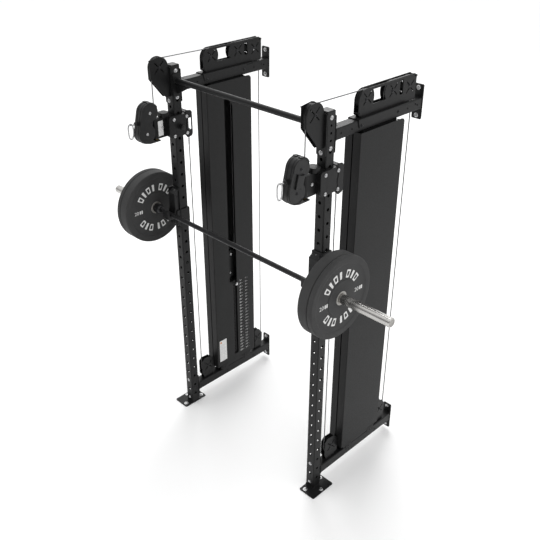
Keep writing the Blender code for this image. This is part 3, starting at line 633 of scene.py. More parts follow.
def make_foot_plate(end, x, side):
    low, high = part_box("foot_plate" + end)
    plate = rounded((low.x, low.y - SHIFT), (high.x, high.y - SHIFT), 0.01)
    outer = high.x if side > 0 else low.x
    places = [(x, -0.068), (x, 0.068), (outer - side * 0.018, 0.0)]
    body = outline(plate, (0.0, high.z), "z", [circle(p, 0.006) for p in places], 0.001)
    bead = weld((x, 0.0), lambda a, b: (a, b, high.z + 0.001))
    piece("anchored_foot" + end, "frame", *PAINTED, body, bead, replaces=["foot_plate" + end])
    for a, b in places:
        bolt("frame", (a, b, high.z), "z", 1, 0.0105, 0.005)


def make_beam(end, x, level, drills, extra=()):
    """A square tube between a plate on the upright and a plate on the wall."""
    height, rise = BEAM_Z[level], FLANGE_RISE[level]
    front = (HALF + GAP, HALF + GAP + PLATE_T)
    rear = (WALL_Y - FLANGE_T, WALL_Y)
    tube = square_tube((x, height), (front[1] - 0.001, rear[0] + 0.001), "y")
    flange = rounded((x - HALF, height + rise - FLANGE_HALF), (x + HALF, height + rise + FLANGE_HALF), 0.008)
    plates = [outline(flange, front, "y", edge=0.0008), outline(flange, rear, "y", edge=0.001)]
    beads = [weld((x, height), lambda a, b, y=y: (a, y, b)) for y in (front[1] + 0.001, rear[0] - 0.001)]
    piece(f"{level}_beam_body{end}", "frame", *PAINTED, cut(tube, *drills), *plates, *beads, *extra,
          replaces=[f"{level}_beam{end}"])
    for z in (height + rise - 0.0745, height + rise + 0.0745):
        bolt("frame", (x, rear[0], z), "y", -1, 0.0095)


def make_upper_beam(end, x):
    height = BEAM_Z["upper"]
    drills = [rod((x, y, height), "z", 0.009, 0.1) for y in (*STRAND_HOLES, BRACKET_REAR[0] + PULLEY_R)]
    drills += [pin(x, (y, height), 0.0045, 0.1, 16) for y in (0.072, 0.152, 0.6, 0.684)]
    drills += [rod((x, y, height + HALF), "z", 0.0045, 0.02, 16) for y in (0.072, 0.684)]
    make_beam(end, x, "upper", drills)
    bolts("frame", x, HALF, [(0.67, 2.262)], 0.0045, 0.004, "oxide")


def make_lower_beam(end, x):
    height = BEAM_Z["lower"]
    foot = height + HALF - 0.002
    front = fillet([
        (0.096, foot), (0.175, foot), (0.175, 0.1645), (0.198, 0.164), (0.198, 0.262), (0.16, 0.305),
        (0.104, 0.309), (0.082, 0.29), (0.082, 0.19), (0.096, 0.166),
    ], 0.01, 4)
    rear = fillet([
        (0.597, foot), (0.653, foot), (0.664, 0.19), (0.667, 0.262), (0.634, 0.308), (0.592, 0.309),
        (0.5915, 0.248), (0.595, 0.19),
    ], 0.008, 4)
    housings = []
    for points, place, far in ((front, LOW_FRONT, 0.04), (rear, LOW_REAR, 0.034)):
        housings += [*cheeks(x, points, spokes(place, far=far)), axle(x, place)]
        bolts("frame", x, HOUSING_HALF, [place], 0.008, 0.0052, "oxide")
    drills = [rod((x, 0.45, height - HALF), "z", 0.008, 0.02)]
    drills += [pin(x, (y, height), 0.0045, 0.1, 16) for y in (0.3, 0.56)]
    make_beam(end, x, "lower", drills, housings)


def cheeks(x, points, holes=()):
    """The two close side plates of a pulley housing."""
    return pair(x, points, HOUSING_HALF, HOUSING_HALF - HOUSING_T, holes)


def axle(x, place):
    return pin(x, place, 0.006, 2 * HOUSING_HALF - 0.001)


def make_top_bracket(end, x):
    seat, thick = BEAM_Z["upper"] + HALF + GAP, 0.0045
    half = HALF + GAP + thick
    plate = fillet([
        (0.236, seat + 0.002), (0.228, 2.296), (0.213, 2.304), *arc(BRACKET_FRONT, 0.0545, 180, 94, 12),
        (0.658, 2.4246), (0.6755, 2.409), (0.675, 2.298), (0.664, seat + 0.002),
    ], 0.006, 3)
    window = [*arc((0.266, 2.375), 0.063, -35, 35, 8), *arc((0.476, 2.375), 0.063, 145, 215, 8)]
    holes = [fillet(window, 0.003, 3), rounded((0.537, 2.336), (0.5635, 2.41), 0.0085)]
    for centre in ((0.2765, 2.376), (0.484, 2.373), (0.624, 2.362)):
        holes += spokes(centre, 0.011, 0.039)
    saddle = fillet(
        [(0.206, 2.245), (0.53, 2.245), (0.535, 2.2885), (0.197, 2.2885), (0.196, 2.281)], 0.005, 3
    )
    top = block((x - 0.0342, x + 0.0342), (0.1975, 0.6), (seat, seat + thick), 0.0006)
    strands = [rod((x, y, seat), "z", 0.009, 0.03) for y in STRAND_HOLES]
    axles = (BRACKET_FRONT, BRACKET_MID, BRACKET_REAR)
    pins = [axle(x, place) for place in (*axles, (0.549, 2.307))]
    pins.append(pin(x, (0.669, 2.411), 0.0062, 2 * HOUSING_HALF + 0.008))
    pins.append(pin(x, (0.222, 2.31), 0.005, 2 * HOUSING_HALF + 0.004))
    piece("pulley_bracket" + end, "frame", *PAINTED, *cheeks(x, plate, holes),
          *pair(x, saddle, half, half - thick, edge=0.0008), cut(top, *strands), *pins,
          replaces=["top_bracket" + end])
    keepers = [pin(x, (0.5535, z), 0.0035, 2 * HOUSING_HALF - 0.002) for z in (2.35, 2.402)]
    piece("keeper_pins" + end, "frame", *BRIGHT, *keepers)
    bolts("frame", x, HOUSING_HALF, axles, 0.0072, 0.0045, "oxide")
    bolts("frame", x, half, ((0.222, 2.256), (0.515, 2.258)), 0.0065, 0.005, "oxide")


def make_front_housing(end, x, side):
    """Two cheeks and a ridged band round the top front pulley; the inner cheek has a square corner."""
    face = -HALF - GAP
    low = [(face - 0.001, 2.206), (-0.066, 2.2065), (-0.0746, 2.216)]
    outer = [*low, (-0.1555, 2.3185), *arc(TOP_FRONT, 0.058, 180, 0, 24), (face - 0.001, 2.37)]
    inner = [
        *low, (-0.16, 2.3205), (-0.1625, 2.326), (-0.1625, 2.4225), (-0.169, 2.424), (-0.169, 2.427),
        (-0.15, 2.429), *arc(TOP_FRONT, 0.058, 104, 0, 16), (face - 0.001, 2.37),
    ]
    holes = spokes((TOP_FRONT[0] - 0.004, TOP_FRONT[1] + 0.002))
    parts = [
        outline(loop, (x + s * HOUSING_HALF, x + s * (HOUSING_HALF - HOUSING_T)), "x", holes, 0.0006)
        for s, loop in ((side, fillet(outer, 0.004, 3)), (-side, fillet(inner, 0.002, 3)))
    ]
    tab = rounded((x - HALF, 2.162), (x + HALF, 2.372), 0.01)
    parts += [outline(tab, (face - 0.005, face), "y", edge=0.0008), axle(x, TOP_FRONT)]
    strip = [
        (-0.155, 2.322), *arc(TOP_FRONT, 0.057, 180, 100, 14), *arc(TOP_FRONT, 0.0545, 100, 180, 14),
        (-0.1525, 2.3235), (-0.15, 2.319),
    ]
    parts.append(outline(strip, (x - HOUSING_HALF + 0.002, x + HOUSING_HALF - 0.002), "x", edge=0.0005))
    ridge = [
        (-0.1562, 2.324), *arc(TOP_FRONT, 0.0585, 180, 112, 12), *arc(TOP_FRONT, 0.056, 112, 180, 12),
        (-0.1535, 2.325),
    ]
    for middle_x in (x - 0.0055, x + 0.0055):
        parts.append(outline(ridge, (middle_x - 0.0016, middle_x + 0.0016), "x", edge=0.0005))
    piece("front_pulley_housing" + end, "frame", *PAINTED, *parts, replaces=["front_housing" + end])
    bolt("frame", (x, face - 0.005, 2.178), "y", -1, 0.0088)
    bolts("frame", x, HOUSING_HALF, [TOP_FRONT], 0.0072, 0.005, "oxide")


# ---------------------------------------------------------------- pulleys and cable
def make_pulley(name, end, x, place, pitch=PULLEY_R):
    """A grooved wheel; pitch is its radius at the middle of the cable."""
    body = f"pulley_{name}{end}"
    rim, half, seat = pitch + 0.004, 0.009, 0.0034
    groove = [(pitch - seat * cos(radians(t)), seat * sin(radians(t))) for t in range(-80, 81, 20)]
    profile = [
        (pitch - 0.0135, -0.0065), (pitch - 0.0115, -half), (rim - 0.001, -half), (rim, -half + 0.001),
        (rim, -0.0064), *groove, (rim, 0.0064), (rim, half - 0.001), (rim - 0.001, half),
        (pitch - 0.0115, half), (pitch - 0.0135, 0.0065),
    ]
    holes = [circle(place, 0.011), *(circle(p, 0.0075, 20) for p in arc(place, 0.0245, 0, 300, 5))]
    web = outline(circle(place, pitch - 0.0125, 48), (x - 0.003, x + 0.003), "x", holes)
    hub = tube_piece((x, *place), "x", 0.0155, 0.0105, 2 * half)
    wheel = lathe(profile, (x, *place), "x", 64, closed=True)
    piece(f"wheel_{name}{end}", body, *MOULDED, wheel, web, hub, replaces=[body])
    races = [
        tube_piece((x, *place), "x", outer, inner, 2 * half + more)
        for outer, inner, more in ((0.0104, 0.0088, 0.0004), (0.008, 0.0062, 0.001), (0.009, 0.0078, -0.0012))
    ]
    piece(f"bearing_{name}{end}", body, *BRIGHT, *races)


def rope(name, x, route, step=0.03, sides=12):
    """A stretch of wire rope along (Y, Z) points, its pattern laid out in the UV map."""
    dense = [Vector(route[0])]
    for start, stop in zip(map(Vector, route), map(Vector, route[1:])):
        count = max(1, round((stop - start).length / step))
        dense += [start.lerp(stop, (i + 1) / count) for i in range(count)]
    work = bmesh.new()
    rings, travelled, lays = [], 0.0, []
    for i, point in enumerate(dense):
        ahead = (dense[min(i + 1, len(dense) - 1)] - dense[max(i - 1, 0)]).normalized()
        travelled += (point - dense[i - 1]).length if i else 0.0
        lays.append(travelled / LAY)
        ring = []
        for k in range(sides):
            turn = 2 * pi * k / sides
            out = -ahead.y * sin(turn), ahead.x * sin(turn)
            place = (x + CABLE_R * cos(turn), point.x + CABLE_R * out[0], point.y + CABLE_R * out[1])
            ring.append(work.verts.new(place))
        rings.append(ring)
    layer = work.loops.layers.uv.new("laid")
    for i in range(len(rings) - 1):
        for k in range(sides):
            after = (k + 1) % sides
            face = work.faces.new((rings[i][k], rings[i][after], rings[i + 1][after], rings[i + 1][k]))
            corners = ((i, k), (i, k + 1), (i + 1, k + 1), (i + 1, k))
            for loop, (row, column) in zip(face.loops, corners):
                loop[layer].uv = (lays[row], column / sides)
    work.faces.new(rings[0])
    work.faces.new(rings[-1])
    bmesh.ops.recalc_face_normals(work, faces=work.faces)
    mesh = bpy.data.meshes.new(name)
    work.to_mesh(mesh)
    work.free()
    mesh.transform(Matrix.Translation((0, SHIFT, 0)))
    mesh.materials.append(ROPE)
    mesh.shade_smooth()
    mesh.set_sharp_from_angle(angle=radians(60))
    obj = loose(mesh)
    obj.name = name
    return obj


def ridden(name, x, route, body):
    """A stretch that keeps its shape."""
    obj = rope(name, x, route)
    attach(obj, body)
    return obj


def strung(name, x, route):
    """A straight stretch between two bodies that move apart or together."""
    obj = rope(name, x, route)
    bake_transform(obj)


def make_cable(end, x):
    head, selector, trolley = "swivel_head" + end, "selector" + end, "trolley" + end
    under = HEAD_UPPER[1] - PULLEY_R
    strung("rope_to_handle" + end, x, [(HEAD_UPPER[0], under), (BALL[0] + 0.01, under)])
    ridden("rope_round_head" + end, x, arc(HEAD_UPPER, PULLEY_R, -90, 0, 12), head)
    strung("rope_front" + end, x, [(SWIVEL_Y, TOP_FRONT[1]), (SWIVEL_Y, HEAD_UPPER[1])])
    fall = degrees(atan2(BRACKET_FRONT[1] - TOP_FRONT[1], BRACKET_FRONT[0] - TOP_FRONT[0]))
    top = arc(TOP_FRONT, PULLEY_R, 180, 90 + fall, 12) + arc(BRACKET_FRONT, PULLEY_R, 90 + fall, 0, 12)
    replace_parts(ridden("rope_over_top" + end, x, top, "frame"), "cable" + end)
    left, right = STACK_PULLEY[0] - STACK_PULLEY_R, STACK_PULLEY[0] + STACK_PULLEY_R
    down = [(BRACKET_FRONT[0] + PULLEY_R, BRACKET_FRONT[1]), (left, STACK_PULLEY[1])]
    strung("rope_to_stack" + end, x, down)
    ridden("rope_under_stack_pulley" + end, x, arc(STACK_PULLEY, STACK_PULLEY_R, 180, 360, 20), selector)
    down = [(BRACKET_MID[0] - PULLEY_R, BRACKET_MID[1]), (right, STACK_PULLEY[1])]
    strung("rope_from_stack" + end, x, down)
    back = arc(BRACKET_MID, PULLEY_R, 180, 90, 12) + arc(BRACKET_REAR, PULLEY_R, 90, 0, 12)
    back += arc(LOW_REAR, PULLEY_R, 0, -90, 12) + arc(LOW_FRONT, PULLEY_R, -90, -180, 12)
    ridden("rope_down_the_back" + end, x, back, "frame")
    strung("rope_to_trolley" + end, x, [(ANCHOR_Y, LOW_FRONT[1]), (ANCHOR_Y, ANCHOR_Z - 0.004)])
    fitting = lathe([
        (0.0, -0.062), (0.004, -0.062), (0.0052, -0.056), (0.0052, -0.022), (0.0042, -0.02), (0.0042, 0.012),
        (0.0, 0.012),
    ], (x, ANCHOR_Y, ANCHOR_Z), "z", 24)
    nut = lathe([(0.0, -0.009), (0.008, -0.009), (0.009, -0.007), (0.009, -0.001), (0.0, -0.001)],
                (x, ANCHOR_Y, ANCHOR_Z), "z", 6)
    piece("swaged_stud" + end, trolley, *BRIGHT, fitting, nut)


# ---------------------------------------------------------------- weight stack and shroud
def lettering(text, size, place, facing):
    """Raised numerals on a panel that faces +X or -X."""
    curve = bpy.data.curves.new("numerals", "FONT")
    curve.body = text
    curve.size = size
    curve.align_x = curve.align_y = "CENTER"
    curve.extrude = 0.00012
    curve.resolution_u = 3
    mesh = meshed(curve)
    mesh.transform(Matrix(((0, 0, facing, 0), (facing, 0, 0, 0), (0, 1, 0, 0), (0, 0, 0, 1))))
    mesh.transform(Matrix.Translation(place))
    return mesh


def make_shroud(end, x, kind, outward):
    """Half of the folded cover; the inner half has the slot of the selector pin."""
    (front, rear), top, bottom = SHROUD_Y, SHROUD_TOP, 0.195
    seam, outer = x + outward * 0.0035, x + outward * SHROUD_HALF_X
    skin = outer - outward * SHEET
    outside = fillet([(seam, front), (outer, front), (outer, rear), (seam, rear)], 0.004, 4, False)
    inside = [(seam, rear - SHEET), (skin, rear - SHEET), (skin, front + SHEET), (seam, front + SHEET)]
    sheet = outline(outside + fillet(inside, 0.002, 3, False), (bottom, top), "z", edge=0.0004)
    bend = 0.028
    corner = [(rear + 0.01, top - bend), (rear + 0.01, top + 0.01), (rear - bend, top + 0.01)]
    corner += arc((rear - bend, top - bend), bend, 90, 0, 10)
    notch = (seam - outward * 0.002, skin - outward * 0.004)
    tools = [
        outline(corner, (notch[0], outer + outward * 0.01), "x", edge=0),
        block(notch, (rear - 0.006, rear + 0.004), (bottom - 0.01, bottom + 0.02), 0),
    ]
    if kind == "inner":
        narrow, wide, right = 0.3625, 0.332, 0.3975
        slot = fillet([
            (right, 0.238), (right, 2.05), *arc((wide, 2.05), right - wide, 12, 90, 8), (wide, 0.858),
            (narrow, 0.82), (narrow, 0.238),
        ], 0.008, 4)
        tools.append(outline(slot, (outer - outward * 0.01, outer + outward * 0.01), "x", edge=0))
    tabs = [
        block((outer, skin), span, (BEAM_Z["lower"] + HALF + 0.003, bottom + 0.004), 0.0004)
        for span in TABS
    ]
    piece(f"shroud_{kind}_sheet{end}", "frame", *SHEETED, cut(sheet, *tools), *tabs,
          replaces=[f"shroud_{kind}{end}"])
    for span in TABS:
        bolt("frame", (outer, sum(span) / 2, 0.171), "x", outward, 0.0042, 0.003, "oxide")


def printed_lines(rows, surface, far):
    """Blank lines of print on a label: (Y, Z) low and high corners, raised from the surface to far."""
    return [outline(rounded(low, high, radius, 2), (surface, far), "x", edge=0) for low, high, radius in rows]


def make_markings(end, x, side):
    """The weight numerals beside the slot and the blank notice, both on the inner panel."""
    facing = -side
    surface = x + facing * SHROUD_HALF_X
    for name, look, y, size, step in (("weight_numerals", WHITE, 0.4345, 0.0165, 5),
                                      ("pound_numerals", GREY, 0.4855, 0.015, 11)):
        rows = [
            lettering(f"{step * (row + 1)} –", size,
                      (surface, y, STACK_TOP + WEIGHT_T / 2 - WEIGHT_T * row), facing)
            for row in range(WEIGHTS + 1)
        ]
        piece(name + end, "frame", "sheet_coat", look, *rows)
    sheet = outline(rounded((0.221, 0.237), (0.286, 0.413), 0.003),
                    (surface, surface + facing * 0.0004), "x", edge=0)
    piece("notice_sheet" + end, "frame", "sheet_coat", WHITE, sheet)
    far = surface + facing * 0.0006
    head = ((0.2275, 0.39), (0.24, 0.404), 0.0015)
    piece("notice_head" + end, "frame", "sheet_coat", ORANGE, *printed_lines([head], surface, far))
    rows = []
    for i in range(14):
        z = 0.246 + 0.0098 * i
        rows.append(((0.2275, z), (0.279 - (i % 3) * 0.006, z + 0.0022), 0.0008))
    piece("notice_lines" + end, "frame", "sheet_coat", INK, *printed_lines(rows, surface, far))


def make_guides(end, x):
    low, under = BEAM_Z["lower"] + HALF + GAP, BEAM_Z["upper"] - HALF - GAP
    sole = (0.2115, STACK_BOTTOM - 0.012)
    span = (STACK_Y - 0.135, STACK_Y + 0.135)
    legs = [block((x + s * 0.022, x + s * 0.029), span, (low, sole[0] + 0.001)) for s in (-1, 1)]
    bar = block((x - 0.03, x + 0.03), span, (under - 0.018, under))
    passages = [rod((x, y, under), "z", 0.008, 0.1) for y in (0.318, 0.428)]
    channel = block((x - 0.046, x + 0.046), span, sole)
    piece("guide_channel" + end, "frame", "bright_steel", COAT, *legs, channel, cut(bar, *passages))
    length = under - sole[0] - 0.013
    ys = (STACK_Y - 0.1, STACK_Y + 0.1)
    rods = [rod((x, y, sole[0] + 0.004 + length / 2), "z", 0.0095, length, 36, 0.001) for y in ys]
    buffers = [tube_piece((x, y, STACK_BOTTOM - 0.0065), "z", 0.02, 0.0097, 0.012, edge=0.003) for y in ys]
    piece("polished_rods" + end, "frame", "bright_steel", GUIDE, *rods, replaces=["guide_rods" + end])
    piece("rubber_buffers" + end, "frame", *RUBBERY, *buffers)


def weight(x, low, high):
    ring = rounded((x - 0.04, STACK_Y - 0.1375), (x + 0.04, STACK_Y + 0.1375), 0.006, 4)
    holes = [circle((x, STACK_Y + d), 0.0115) for d in (-0.1, 0.0, 0.1)]
    return outline(ring, (low, high), "z", holes, 0.0018)


def pin_hole(x, side, z):
    """The drill of the selector pin's hole in the inner side of a weight."""
    return rod((x - side * 0.03, STACK_Y, z), "x", 0.0056, 0.05, 20, 0)


def make_stack(end, x, side):
    lows = [STACK_BOTTOM + WEIGHT_T * i for i in range(WEIGHTS)]
    plates = [weight(x, low + 0.0001, low + WEIGHT_T - 0.0003) for low in lows]
    holes = [pin_hole(x, side, low + WEIGHT_T / 2) for low in lows]
    piece("weight_plates" + end, "frame", *CAST, cut(joined(plates), *holes), replaces=["weight_stack" + end])


def make_selector(end, x, side):
    """The top weight with the stem that hangs through the stack and the yoke of the travelling pulley."""
    body, y = "selector" + end, STACK_Y
    top = STACK_TOP + GAP + WEIGHT_T
    pin_z = STACK_TOP + GAP + WEIGHT_T / 2
    plate = cut(weight(x, STACK_TOP + 2 * GAP, top), pin_hole(x, side, pin_z))
    piece("top_weight" + end, body, *CAST, plate, replaces=[body])
    cheek = [(y - 0.024, 0.868), (y + 0.024, 0.868), *arc((y, STACK_PULLEY[1] + 0.01), 0.022, 0, 180, 12)]
    yoke = pair(x, fillet(cheek, 0.006, 3), 0.02, 0.0155)
    yoke.append(block((x - 0.0155, x + 0.0155), (y - 0.022, y + 0.022), (0.868, 0.93), 0.003))
    yoke.append(tube_piece((x, y, 0.85), "z", 0.017, 0.009, 0.022, 6, 0.001))
    piece("pulley_yoke" + end, body, "stack_iron", COAT, *yoke)
    stem_low, stem_high = STACK_BOTTOM + 0.008, 0.872
    eye_y = y - 0.04
    piece("selector_stem" + end, body, *BRIGHT,
          rod((x, y, (stem_low + stem_high) / 2), "z", 0.01, stem_high - stem_low, 28, 0.002),
          rod((x, eye_y, 0.898), "z", 0.005, 0.116, 20),
          rod((x, eye_y, top + 0.004), "z", 0.009, 0.008, 20),
          wire([(x, a, b) for a, b in circle((eye_y, 0.97), 0.0135, 32)], 0.0042, cyclic=True),
          pin(x, STACK_PULLEY, 0.006, 0.039))
    bolts(body, x, 0.02, [STACK_PULLEY], 0.0078, 0.0052)
    bolts(body, x, 0.02, [(y - 0.01, 0.9)], 0.0052, 0.004)
    knob = [
        (0.0, -0.0085), (0.0085, -0.0085), (0.011, -0.006),
        (0.011, 0.0045), (0.007, 0.0085), (0.0, 0.0085)
    ]
    piece("pull_pin" + end, "selector_pin" + end, *BRIGHT,
          pin(x - side * 0.0285, (y, pin_z), 0.005, 0.073, 20),
          lathe(knob, (x - side * 0.0665, y, pin_z), "x", 28, edge=0.0008), replaces=["selector_pin" + end])


# ---------------------------------------------------------------- trolley and head
def make_trolley(end, x, side):
    body, inner = "trolley" + end, -side
    clear, wide = HALF + 0.0013, 0.0465
    low, high = 1.974, 2.1
    ring = rounded((x - wide, -0.04), (x + wide, 0.04), 0.007)
    parts = [outline(ring, (low, high), "z", [square((x, 0.0), clear, 0.004, 3)], 0.001)]
    wing = [(-0.036, low), (-0.072, low), (-0.08, low + 0.01), (-0.08, high - 0.01), (-0.072, high),
            (-0.036, high)]
    parts += pair(x, fillet(wing, 0.006, 3), 0.036, wide, edge=0.0009)
    ear = fillet([
        (0.0425, 1.957), (0.053, 1.951), (0.08, 1.958), (0.086, 1.97), (0.086, 2.098), (0.076, 2.11),
        (0.0425, 2.115), (0.0425, 2.078), (0.048, 2.062), (0.048, 2.046), (0.0425, 2.036), (0.0425, 2.012),
        (0.0465, 2.000), (0.0425, 1.99),
    ], 0.004, 3)
    window = rounded((0.058, 1.996), (0.08, 2.066), 0.003, 3)
    for s, holes in ((inner, [window]), (side, [])):
        parts.append(outline(ear, (x + s * (wide - 0.0065), x + s * wide), "x", holes, 0.0008))
    tie = [(0.034, 1.966), (0.0575, 1.96), (0.0575, 2.104), (0.034, 2.109)]
    parts += pair(x, tie, wide - 0.006, wide - 0.0025, edge=0.0003)
    bolts(body, x, wide, ((-0.045, 2.079), (-0.045, 1.982), (0.047, 2.079), (0.047, 1.981)), 0.0075, 0.006)
    arm = (1.984, 2.098)
    parts.append(block((x - 0.034, x + 0.034), (-0.08, -0.036), arm, 0.0015))
    parts.append(block((x - ARM_HALF, x + ARM_HALF), (SWIVEL_Y, -0.078), arm, 0.0012))
    parts.append(rod((x, SWIVEL_Y, sum(arm) / 2), "z", 0.0195, arm[1] - arm[0] - 0.0004, 40, 0.0012))
    collar = rounded((x - 0.03, -0.112), (x + 0.03, -0.055), 0.018, 7)
    parts.append(outline(collar, (2.0985, 2.124), "z", edge=0.002))
    for span in ((1.964, 1.98), (2.085, 2.1)):
        parts.append(block((x - 0.041, x + 0.041), (0.052, 0.082), span, 0.001))
    parts.append(tube_piece((x, ANCHOR_Y, ANCHOR_Z + 0.02), "z", 0.0095, 0.0042, 0.04))
    parts.append(tube_piece((x + inner * 0.0505, 0.0, TROLLEY_Z), "x", 0.015, 0.0066, 0.013, edge=0.001))
    piece("trolley_body" + end, body, *PAINTED, *parts, replaces=[body])
    liners = []
    for s in (-1, 1):
        near, far = s * (HALF + 0.0003), s * (clear + 0.0008)
        for across, along in (((x + near, x + far), (-0.022, 0.022)), ((x - 0.022, x + 0.022), (near, far))):
            liners.append(block(across, along, (low - 0.001, high + 0.001), 0.0003))
    piece("slide_liners" + end, body, "powder_coat", LINER, *liners)
    bolts(body, x, 0.034, [(-0.064, 2.043)], 0.007, 0.0055)
    bolts(body, x, ARM_HALF, [(-0.108, 2.043)], 0.007, 0.0055)
    if side < 0:
        make_arm_label(end, body, x + inner * ARM_HALF, inner)
    knob = lathe([
        (0.0, -0.0095), (0.0115, -0.0095), (0.014, -0.0065), (0.014, 0.004), (0.012, 0.0075), (0.0095, 0.0095),
        (0.0, 0.0095),
    ], (x + inner * 0.0675, 0.0, TROLLEY_Z), "x", 36, edge=0.0012)
    shaft = rod((x + inner * 0.0465, 0.0, TROLLEY_Z), "x", 0.006, 0.03)
    piece("pop_pin_knob" + end, "pop_pin" + end, "black_oxide", NYLON, knob)
    piece("pop_pin_shaft" + end, "pop_pin" + end, "black_oxide", ZINC, shaft, replaces=["pop_pin" + end])


def make_arm_label(end, body, surface, facing):
    """The blank label on the arm."""
    sheet = ((-0.141, 1.998), (-0.104, 2.085), 0.002)
    piece("arm_label" + end, body, "powder_coat", WHITE,
          *printed_lines([sheet], surface, surface + facing * 0.0004))
    rows = [((-0.138, 2.004 + 0.0078 * i), (-0.108, 2.004 + 0.0078 * i + 0.0018), 0.0006) for i in range(10)]
    piece("arm_label_lines" + end, body, "powder_coat", INK,
          *printed_lines(rows, surface, surface + facing * 0.0006))


def head_outline():
    """The cover round the two pulleys: straight in front, with two pivot lugs behind."""
    upper = arc(HEAD_UPPER, HEAD_R, -42, 180 - HEAD_LEAN, 26)
    lower_front = arc(HEAD_LOWER, HEAD_R, 180 - HEAD_LEAN, 262, 12)
    lower_lug = [(-0.205, 1.972), (-0.132, 1.972), (-0.132, 1.98), (-0.171, 1.9804)]
    lower_rear = arc(HEAD_LOWER, HEAD_R, -48, 45, 12)
    upper_lug = [(-0.178, 2.09), (-0.172, 2.1015), (-0.132, 2.102), (-0.132, 2.109), (-0.158, 2.1095)]
    return fillet(upper + lower_front + lower_lug + lower_rear + upper_lug, 0.004, 3)


def band(start, stop, inner, outer, count=18):
    """A strip round the front of the head, from an angle at the top axle to one at the low axle."""

    def edge(radius):
        front = 180 - HEAD_LEAN
        return arc(HEAD_UPPER, radius, start, front, count) + arc(HEAD_LOWER, radius, front, stop, count)

    return edge(outer) + list(reversed(edge(inner)))


def pad_shape():
    """The raised pad between the two pulley recesses, hollowed at both ends."""
    line = Vector(HEAD_LOWER) - Vector(HEAD_UPPER)
    along = line.normalized()
    across = Vector((-along.y, along.x))
    ends = [(0.02, 0.0235), (0.026, 0.012), (0.028, 0.0), (0.026, -0.012), (0.02, -0.0235)]
    ends += [(line.length - a, b) for a, b in reversed(ends)]
    return fillet([tuple(Vector(HEAD_UPPER) + along * a + across * b) for a, b in ends], 0.004, 4)


def make_head(end, x, side):
    body, thick = "swivel_head" + end, 0.004
    plates = pair(x, head_outline(), HEAD_HALF, HEAD_HALF - thick, edge=0.001)
    lugs = [block((x - 0.025, x + 0.025), (rear, -0.1325), span)
            for rear, span in ((-0.156, (2.1022, 2.1088)), (-0.19, (1.9725, 1.9795)))]
    piece("head_plates" + end, body, *COVERED, *plates, *lugs, replaces=[body])
    inside = HEAD_HALF - thick
    walls = [outline(band(62, 268, 0.0525, 0.0545), (x - inside, x + inside), "x", edge=0.0003)]
    ridge = band(80, 262, 0.054, 0.0562)
    for offset in (-0.0115, 0.0115):
        walls.append(outline(ridge, (x + offset - 0.0022, x + offset + 0.0022), "x", edge=0.0007))
    lip = arc(HEAD_UPPER, 0.059, 96, 24, 12) + [(-0.1365, 2.17)] + arc(HEAD_UPPER, 0.0552, 24, 96, 12)
    walls += pair(x, lip, 0.0062, HEAD_HALF)
    front_y = HEAD_UPPER[0] - 0.056 - (HEAD_UPPER[1] - BALL[1]) * FRONT_SLOPE
    walls.append(tube_piece((x, front_y - 0.0008, BALL[1]), "y", 0.012, 0.0038, 0.006, 36, 0.0015))
    piece("head_band" + end, body, *COVERED, *walls)
    surface = x + side * HEAD_HALF
    raised = (surface - side * 0.001, surface + side * 0.0024)
    relief = []
    for centre, start, stop in ((HEAD_UPPER, 14, 190), (HEAD_LOWER, 170, 318)):
        rim = arc(centre, 0.053, start, stop, 24) + arc(centre, 0.0495, stop, start, 24)
        relief.append(outline(rim, raised, "x", edge=0.0008))
    relief.append(outline(pad_shape(), (surface - side * 0.001, surface + side * 0.0085), "x", edge=0.002))
    piece("head_relief" + end, body, *COVERED, *relief)
    for place in (HEAD_UPPER, HEAD_LOWER):
        bolt(body, (x - side * HEAD_HALF, *place), "x", -side, 0.0065, 0.005)
        bolt(body, (x + side * (HEAD_HALF + 0.0002), *place), "x", side, 0.0075, 0.004, "oxide")
    pins = [pin(x, place, 0.006, 2 * HEAD_HALF - 0.001) for place in (HEAD_UPPER, HEAD_LOWER)]
    pivot = rod((x, SWIVEL_Y, 2.0405), "z", 0.006, 0.149, 28, 0.001)
    ends = [
        rod((x, SWIVEL_Y, 2.115), "z", 0.0085, 0.0045, 24, 0.001),
        rod((x, SWIVEL_Y, 1.9665), "z", 0.009, 0.006, 24, 0.001),
        tube_piece((x, -0.1675, 2.106), "z", 0.005, 0.002, 0.004, 24),
    ]
    piece("head_pins" + end, body, *BRIGHT, *pins, pivot, *ends)
    washers = [tube_piece((x, SWIVEL_Y, z), "z", 0.015, 0.0062, 0.0028, 36) for z in (2.1001, 1.9818)]
    piece("brass_washers" + end, body, "bright_steel", BRASS, *washers)


